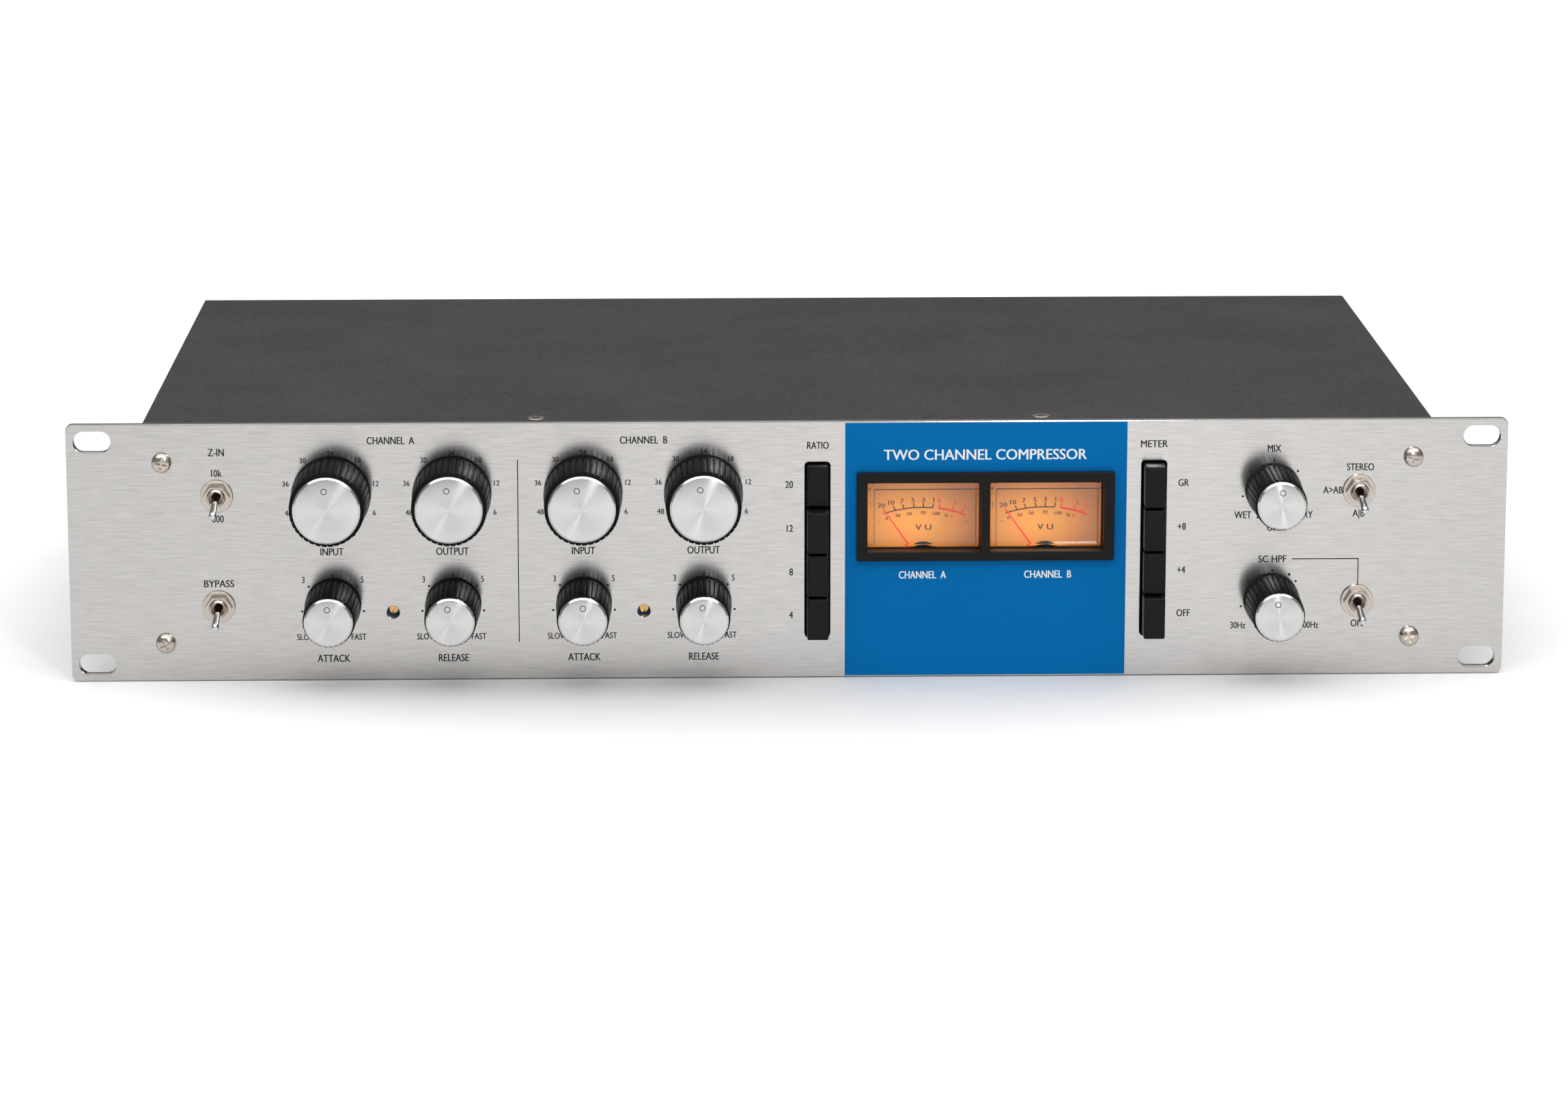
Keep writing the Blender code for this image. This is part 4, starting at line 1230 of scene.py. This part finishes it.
@dataclass
class Toggle:
    """A miniature toggle switch: washer, nut, threaded bushing, body and a chrome lever."""

    name: str
    washer: Point = (5.5, 0.65)
    nut_corner: float = 4.62
    bushing: Point = (2.85, 2.3)
    pivot: float = 1.8
    tilt: float = 14.0
    reach: float = 15.2

    def build(self) -> None:
        """Build the switch and its lever."""
        x, z = axis_of(f"lever_{self.name}")
        at = (x, 0, z)
        outer, bore = self.bushing
        radius, thick = self.washer
        washer = lathe([(outer, -0.3), (radius - 0.1, -0.3), (radius, -0.4), (radius, -thick - 0.15),
                        (radius - 0.15, -thick - 0.3), (outer, -thick - 0.3), (outer, -0.3)], 48, at)
        hexagon = [(x + self.nut_corner * cos(pi / 3 * i), z + self.nut_corner * sin(pi / 3 * i)) for i in range(6)]
        nut = plate([hexagon, ring(x, z, outer)], -3.0, -thick - 0.3, 0.22)
        sleeve = lathe([(bore, 1.4), (bore, -4.2), (bore + 0.12, -4.3), (outer - 0.35, -4.3), (outer - 0.22, -4.15),
                        (outer - 0.22, 5.0), (0, 5.0), (0, 1.4), (bore, 1.4)], 40, at)
        thread = lathe([(outer - 0.3, -0.22), (outer, -0.04), (outer, 0.04), (outer - 0.3, 0.22),
                        (outer - 0.3, -0.22)], 32, (0, -FACE_Y / MM, 0))
        threads = grown(COPIES, thread, NICKEL, Count=6, Start=0.0, Step=0.0, Rise=0.45 * MM,
                        Centre=tuple(spot(x, -3.85, z)))
        body = brick((x - 3.6, x + 3.6), (3.3, 13.0), (z - 6.4, z + 6.4), 0.3)
        lugs = [brick((x - 0.4, x + 0.4), (12.5, 17.0), (z + lug - 1, z + lug + 1), 0.1) for lug in (-4.7, 0, 4.7)]
        piece(f"switch_{self.name}_hardware", joined(washer, nut, sleeve, threads, body, *lugs), NICKEL,
              replaces=[f"switch_{self.name}"])
        tip = -self.reach
        lever = lathe([(0, tip), (0.6, tip + 0.06), (1.05, tip + 0.35), (1.28, tip + 0.9), (1.3, tip + 1.6),
                       (1.28, tip + 2.6), (1.0, -3.0), (1.15, -1.3), (1.55, 0.0), (1.0, 1.2), (0, 1.6)], 32,
                      (x, -self.pivot, z))
        turned_about(lever, spot(x, -self.pivot, z), "X", self.tilt)
        piece(f"lever_{self.name}_bat", lever, CHROME, f"lever_{self.name}", [f"lever_{self.name}"], 50)


@dataclass
class PushButton:
    """A satin black latching button with rounded edges and a slightly dished face."""

    name: str
    edge: float = 0.55
    lip: float = 0.7
    dish: float = 0.12
    length: float = 14.0
    stem: float = 1.5

    def build(self) -> None:
        """Build the cap and its stem."""
        x, depth, z = extent(self.name)
        bm = brick(x, (depth[0], depth[0] + self.length), z, self.edge)
        face = min(bm.faces, key=lambda f: f.calc_center_median().y)
        bmesh.ops.inset_individual(bm, faces=[face], thickness=self.lip * MM)
        bmesh.ops.translate(bm, verts=face.verts, vec=(0, self.dish * MM, 0))
        stem = brick((middle(x) - self.stem, middle(x) + self.stem), (depth[0] + self.length - 1, depth[1]),
                     (middle(z) - self.stem, middle(z) + self.stem), 0.1)
        piece(f"{self.name}_cap", joined(bm, stem), SATIN, self.name, [self.name], 40)


@dataclass
class Trimmers:
    """The navy collars round the two adjusting screws behind the panel."""

    inner: float = 1.68
    outer: float = 2.9

    def build(self) -> None:
        """Build both collars and dress the brass screws."""
        for channel in "ab":
            x, z = axis_of(f"trimmer_screw_{channel}")
            collar = lathe([(self.inner, 4.15), (self.inner, 3.75), (self.inner + 0.15, 3.6), (self.outer, 3.6),
                            (self.outer, 4.15), (self.inner, 4.15)], 32, (x, 0, z))
            piece(f"trimmer_collar_{channel}", collar, NAVY)
        dress(BRASS, "trimmer_screw_a", "trimmer_screw_b")


# ---------------------------------------------------------------- meters

@dataclass
class Meter:
    """One lit meter: its dial print, the shade over its pivot, and its window."""

    channel: str
    print_depth: float = 9.94
    drop: float = 2.6
    spread: float = 0.006
    arc_centre: Point = (44.5, 17.95)
    arc_radius: float = 41.0
    line: float = 0.4
    black_marks: tuple[tuple[str, float, float, float], ...] = (
        ("20", 32.3, 30.8, 59.7), ("10", 35.5, 34.1, 60.6), ("7", 38.4, 37.7, 61.2), ("5", 41.8, 41.4, 61.5),
        ("3", 44.9, 44.9, 61.6), ("1", 48.0, 48.4, 61.6))
    red_marks: tuple[tuple[str, float, float, float], ...] = (
        ("0", 50.0, 50.3, 61.3), ("3", 54.3, 55.5, 60.4), ("5", 57.3, 58.9, 59.4))
    percent: tuple[tuple[str, float, float], ...] = (
        ("0", 32.6, 55.2), ("30", 36.3, 56.2), ("50", 40.2, 56.8), ("70", 44.8, 57.1), ("100", 49.3, 56.8),
        ("%", 52.6, 56.1))

    def shift(self) -> float:
        """How far this meter stands from the one on the left."""
        return axis_of(f"needle_{self.channel}")[0] - axis_of("needle_a")[0]

    def on_dial(self, x: float, z: float) -> Point:
        """Where a mark lies on the dial, behind the window."""
        return x + (x + 33) * self.spread + self.shift(), z - self.drop

    def tick(self, x: float) -> list[Point]:
        """The outline of a tick that points away from the pivot.

        Args:
            x: Where it meets the scale's arc.

        Returns:
            The outline.
        """
        z = self.arc_centre[1] + math.sqrt(self.arc_radius ** 2 - (x - self.arc_centre[0]) ** 2)
        start = Vector(self.on_dial(x, z))
        away = (start - Vector(axis_of(f"needle_{self.channel}"))).normalized() * 1.6
        return stroke(tuple(start), tuple(start + away), self.line)

    def word(self, text: str, x: float, z: float, cap: float, narrow: float = 1.2) -> Word:
        """A number or sign on the dial."""
        px, pz = self.on_dial(x, z)
        return Word(text, px, pz, cap, narrow=narrow)

    def printed(self, name: str, loops: Iterable[Loop], words: Iterable[Word], finish: Finish) -> None:
        """Print marks and words on the dial as one piece.

        Args:
            name: The piece's name, without its channel.
            loops: The marks' outlines.
            words: The words and numbers.
            finish: The ink.
        """
        marks = [plate([loop], self.print_depth, self.print_depth + 0.1) for loop in loops]
        ink = lettering(words, self.print_depth + 0.04, thickness=0.05, bold=0.07)
        piece(f"{name}_{self.channel}", joined(*marks, ink), finish)

    def build(self) -> None:
        """Print the dial, light it, and dress the case, the window and the needle."""
        cx, cz = self.on_dial(*self.arc_centre)
        black = [bow((cx, cz), self.arc_radius, -18.6, 4.9, self.line)] + [self.tick(m[1]) for m in self.black_marks]
        red = [bow((cx, cz), self.arc_radius + 0.1, 7.7, 20.9, 0.65)] + [self.tick(m[1]) for m in self.red_marks]
        low, high = self.on_dial(28.4, 46.3), self.on_dial(62.5, 65.2)
        edge = [stroke((low[0], high[1]), (high[0], high[1]), 0.35), stroke(low, (low[0], high[1]), 0.2),
                stroke((high[0], low[1]), high, 0.2)]
        words = [self.word(text, x, z, 1.5) for text, _, x, z in self.black_marks]
        words += [self.word(text, x, z, 1.1) for text, x, z in self.percent]
        words += [self.word("-", 30.2, 54.3, 1.5), self.word("V U", 44.9, 52.1, 1.9, 1.25)]
        self.printed("dial_print", black + edge, words, DIAL_BLACK)
        words = [self.word(text, x, z, 1.5) for text, _, x, z in self.red_marks] + [self.word("+", 59.8, 53.9, 1.5)]
        self.printed("dial_print_red", red + [ring(*self.on_dial(54.4, 55.9), 0.4, 16)], words, DIAL_RED)
        x, z = axis_of(f"needle_{self.channel}")
        shade = lathe([(0, 6.5), (5.7, 6.5), (5.9, 6.7), (5.9, 6.9), (0, 6.9)], 64, (x, 0, 39.4))
        piece(f"pivot_shade_{self.channel}", shade, SATIN)
        lit = Lit(f"lit_dial_{self.channel}", "amber_dial", (0.92, 0.36, 0.055), 0.5,
                  centre=tuple(spot(x - 5, 10, 51)))
        dress(lit, f"meter_dial_{self.channel}")
        dress(SATIN, f"meter_case_{self.channel}")
        dress(GLASS, f"meter_window_{self.channel}")
        dress(NEEDLE, f"needle_{self.channel}")


@dataclass
class Bezel:
    """The black frame that both meters look out of."""

    aperture: Point = (38.2, 23.6)
    height: float = 55.3
    ease: float = 0.3

    def build(self) -> None:
        """Build the frame and its collar."""
        (x0, x1), (front, back), (z0, z1) = extent("meter_bezel")
        holes = [block(axis_of(f"needle_{channel}")[0], self.height, *self.aperture, 0.5) for channel in "ab"]
        rim = block(middle((x0, x1)), middle((z0, z1)), x1 - x0, z1 - z0, 0.6)
        inner = (holes[0][0][0], holes[1][0][0])
        width = inner[1] - inner[0] + self.aperture[0] + 2.0
        collar = block(middle((x0, x1)), self.height, width, self.aperture[1] + 2.0, 0.6)
        bm = joined(plate([rim, *holes], front, -0.3, self.ease), plate([collar, *holes], -0.6, back))
        piece("meter_frame", bm, SATIN, replaces=["meter_bezel"], smooth=14)


# ---------------------------------------------------------------- case, rear and inside

@dataclass
class Case:
    """The powder-coated tray, lid and rear panel, with the screws that hold them."""

    lid_screws: tuple[Point, ...] = ((-85, 11), (85, 11))
    side_screws: tuple[Point, ...] = ((40, 80), (120, 80), (200, 80))
    rear_columns: tuple[float, ...] = (-207, -20, 100, 207)
    rear_rows: Point = (7, 70)
    lid_head: Head = (3.0, 0.25, True)
    side_head: Head = (2.6, 0.9, False)
    rear_head: Head = (2.4, 0.8, False)
    seed: int = 11

    def build(self) -> None:
        """Dress the sheet metal and set its screws."""
        dress(POWDER, "chassis_tray", "top_cover", "rear_panel")
        (x0, x1), _, (_, top) = extent("top_cover")
        points = [spot(x, depth, top) for x, depth in self.lid_screws]
        screws("lid_screws", Facing.UP, cross_head(*self.lid_head), points, self.seed)
        for facing, x in ((Facing.LEFT, x0), (Facing.RIGHT, x1)):
            points = [spot(x, depth, z) for depth, z in self.side_screws]
            screws(f"side_screws_{facing.name.lower()}", facing, cross_head(*self.side_head), points, self.seed + 1)
        rear = extent("rear_panel")[1][1]
        points = [spot(x, rear, z) for x in self.rear_columns for z in self.rear_rows]
        screws("rear_screws", Facing.BACK, cross_head(*self.rear_head), points, self.seed + 2)


@dataclass
class AudioSocket:
    """A three-pole flange-mounted socket on the rear panel."""

    name: str
    plate_size: Point = (26.0, 31.0)
    bore: float = 9.4
    shell: float = 11.6
    insert: float = 7.6
    contact: float = 3.3
    contact_angles: Triple = (70, 180, 290)
    depth: float = 13.0
    screw_reach: Point = (9.5, 12)
    head: Head = (1.9, 0.7, False)
    seed: int = 7

    def build(self) -> None:
        """Build the plate and shell, the insert and the contacts."""
        front, back = extent(f"xlr_{self.name}")[1]
        x, z = centre_of(f"xlr_{self.name}")
        seat, floor = back - 1.5, back - self.depth
        body = joined(plate([block(x, z, *self.plate_size, 2.2), ring(x, z, self.bore, 64)], seat, back, 0.2),
                      lathe([(0, front), (self.shell, front), (self.shell, seat + 0.2), (self.bore, seat + 0.2),
                             (self.bore, floor), (0, floor)], 64, (x, 0, z)))
        piece(f"socket_{self.name}_shell", body, NICKEL, replaces=[f"xlr_{self.name}"])
        places = [(x + self.contact * sin(radians(a)), z + self.contact * cos(radians(a))) for a in self.contact_angles]
        if self.name.startswith("input"):
            core = plate([ring(x, z, self.insert, 48)] + [ring(*place, 1.3, 20) for place in places],
                         floor - 0.3, back - 1.0, 0.15)
            piece(f"socket_{self.name}_insert", core, SATIN)
            pins = [lathe([(0, back - 6), (1.0, back - 6), (1.0, floor - 0.3), (0, floor - 0.3)], 16,
                          (px, 0, pz)) for px, pz in places]
        else:
            core = plate([ring(x, z, self.bore - 0.05, 48)], floor - 0.3, floor + 1.0, 0.1)
            piece(f"socket_{self.name}_insert", core, SATIN)
            pins = [lathe([(0, floor - 0.3), (1.2, floor - 0.3), (1.2, back - 6.3), (0.8, back - 5.6), (0, back - 5.5)],
                          20, (px, 0, pz)) for px, pz in places]
        piece(f"socket_{self.name}_contacts", joined(*pins), GOLD)
        across, up = self.screw_reach
        points = [spot(x - across, back, z + up), spot(x + across, back, z - up)]
        screws(f"socket_{self.name}_screws", Facing.BACK, cross_head(*self.head), points, self.seed)


@dataclass
class MainsInlet:
    """A recessed appliance inlet with three blades."""

    flange: Point = (48.0, 22.4)
    body: Point = (27.0, 19.6)
    recess: Point = (24.0, 15.8)
    blades: tuple[Point, ...] = ((-7, -2), (0, 2), (7, -2))
    depth: float = 17.0
    screw_reach: float = 19.0
    head: Head = (2.2, 0.3, True)
    seed: int = 5

    def build(self) -> None:
        """Build the moulding, its blades and its two screws."""
        front, back = extent("mains_inlet")[1]
        x, z = centre_of("mains_inlet")
        seat, floor = back - 2.5, back - self.depth
        hole = block(x, z, *self.recess, 2.5)
        bm = joined(plate([block(x, z, *self.flange, 5), hole], seat, back, 0.4),
                    plate([block(x, z, *self.body, 0.5), hole], floor - 0.1, seat + 0.1),
                    plate([block(x, z, *self.body, 0.5)], front, floor))
        piece("inlet_moulding", bm, SATIN, replaces=["mains_inlet"])
        blades = [brick((x + bx - 1, x + bx + 1), (floor - 0.5, back - 5), (z + bz - 2, z + bz + 2), 0.3)
                  for bx, bz in self.blades]
        piece("inlet_blades", joined(*blades), NICKEL)
        points = [spot(x + reach, back, z) for reach in (-self.screw_reach, self.screw_reach)]
        screws("inlet_screws", Facing.BACK, cross_head(*self.head), points, self.seed)


@dataclass
class Internals:
    """Boards, switch banks and transformers inside the case."""

    boards: tuple[str, ...] = ("main_board", "control_board", "blend_board")
    banks: tuple[str, ...] = ("ratio_switch_bank", "meter_switch_bank")
    cores: tuple[str, ...] = ("mains_transformer", "transformer_input_a", "transformer_output_a",
                              "transformer_input_b", "transformer_output_b")

    def build(self) -> None:
        """Dress the inner nodes."""
        dress(LAMINATE, *self.boards)
        dress(SATIN, *self.banks)
        dress(LAMINATION, *self.cores)


# ---------------------------------------------------------------- studio

@dataclass
class Studio:
    """A pale floor, soft light and the camera."""

    eye: Triple = (-37.145, -1613.657, 426.816)
    aim: Triple = (78.4743, -0.0570, -1.5805)
    lens: float = 113.331
    shift: Point = (-0.0183, -0.1002)
    floor_tone: float = 0.8
    floor_size: float = 8.0
    floor_back: float = 2.0
    floor_gap: float = 0.0003
    air: float = 0.22
    sun: float = 2.25
    sun_tilt: float = 2.0
    sun_spread: float = 90.0
    boxes: tuple[tuple[str, Triple, Point, float], ...] = field(default_factory=lambda: (
        ("front_softbox", (0, -420, 620), (1300, 200), 1.4),
        ("front_strip", (190, -950, 530), (70, 400), 2.2)))

    def build(self) -> None:
        """Set up the floor, the light and the camera."""
        bpy.context.scene.view_settings.view_transform = "Standard"
        self.ground()
        self.sky()
        self.lights()
        self.camera()

    def ground(self) -> None:
        """Lay the floor."""
        finish = Ground("pale_floor", "", (self.floor_tone,) * 3, 0.7)
        bm = bmesh.new()
        bmesh.ops.create_grid(bm, x_segments=1, y_segments=1, size=self.floor_size)
        bmesh.ops.translate(bm, verts=bm.verts, vec=(0, self.floor_back, -self.floor_gap))
        mesh = bpy.data.meshes.new("floor")
        bm.to_mesh(mesh)
        bm.free()
        mesh.materials.append(finish.material())
        floor = bpy.data.objects.new("floor", mesh)
        bpy.context.scene.collection.objects.link(floor)

    def sky(self) -> None:
        """Fill the room with even white light."""
        world = bpy.data.worlds.new("studio")
        bpy.context.scene.world = world
        world.use_nodes = True
        background = world.node_tree.nodes["Background"]
        background.inputs["Color"].default_value = (1, 1, 1, 1)
        background.inputs["Strength"].default_value = self.air

    def lights(self) -> None:
        """Hang a broad overhead light and the softboxes."""
        data = bpy.data.lights.new("overhead", "SUN")
        data.energy, data.angle = self.sun, radians(self.sun_spread)
        lamp = bpy.data.objects.new("overhead", data)
        lamp.rotation_euler = (radians(self.sun_tilt), 0, 0)
        bpy.context.scene.collection.objects.link(lamp)
        for name, at, (width, height), power in self.boxes:
            data = bpy.data.lights.new(name, "AREA")
            data.shape, data.size, data.size_y, data.energy = "RECTANGLE", width * MM, height * MM, power
            lamp = bpy.data.objects.new(name, data)
            lamp.location = spot(*at)
            lamp.rotation_euler = (spot(0, 0, 44) - lamp.location).to_track_quat("-Z", "Y").to_euler()
            lamp.visible_camera = False
            bpy.context.scene.collection.objects.link(lamp)

    def camera(self) -> None:
        """Place the camera."""
        data = bpy.data.cameras.new("camera")
        data.sensor_width, data.lens = 36.0, self.lens
        data.shift_x, data.shift_y = self.shift
        data.clip_start, data.clip_end = 0.05, 60.0
        camera = bpy.data.objects.new("camera", data)
        camera.location = spot(*self.eye)
        camera.rotation_euler = [radians(angle) for angle in self.aim]
        bpy.context.scene.collection.objects.link(camera)
        bpy.context.scene.camera = camera


def main() -> None:
    """Build every sub-assembly and the studio."""
    logging.basicConfig(level=logging.INFO, format="%(message)s")
    knobs = [name for name in JOINTS if name.startswith("knob")]
    buttons = [name for name in JOINTS if "_button_" in name]
    levers = [name.removeprefix("lever_") for name in JOINTS if name.startswith("lever")]
    assemblies: list = [Studio(), FrontPanel(), PanelScrews(), Case(), Bezel(), Meter("a"), Meter("b"), Trimmers()]
    assemblies += [Knob.large(name) if "put" in name else Knob.small(name) for name in knobs]
    assemblies += [Toggle(name) for name in levers] + [PushButton(name) for name in buttons]
    assemblies += [AudioSocket(name) for name in ("output_b", "input_b", "output_a", "input_a")]
    assemblies += [MainsInlet(), Internals()]
    for assembly in assemblies:
        assembly.build()


if __name__ == "__main__":
    main()
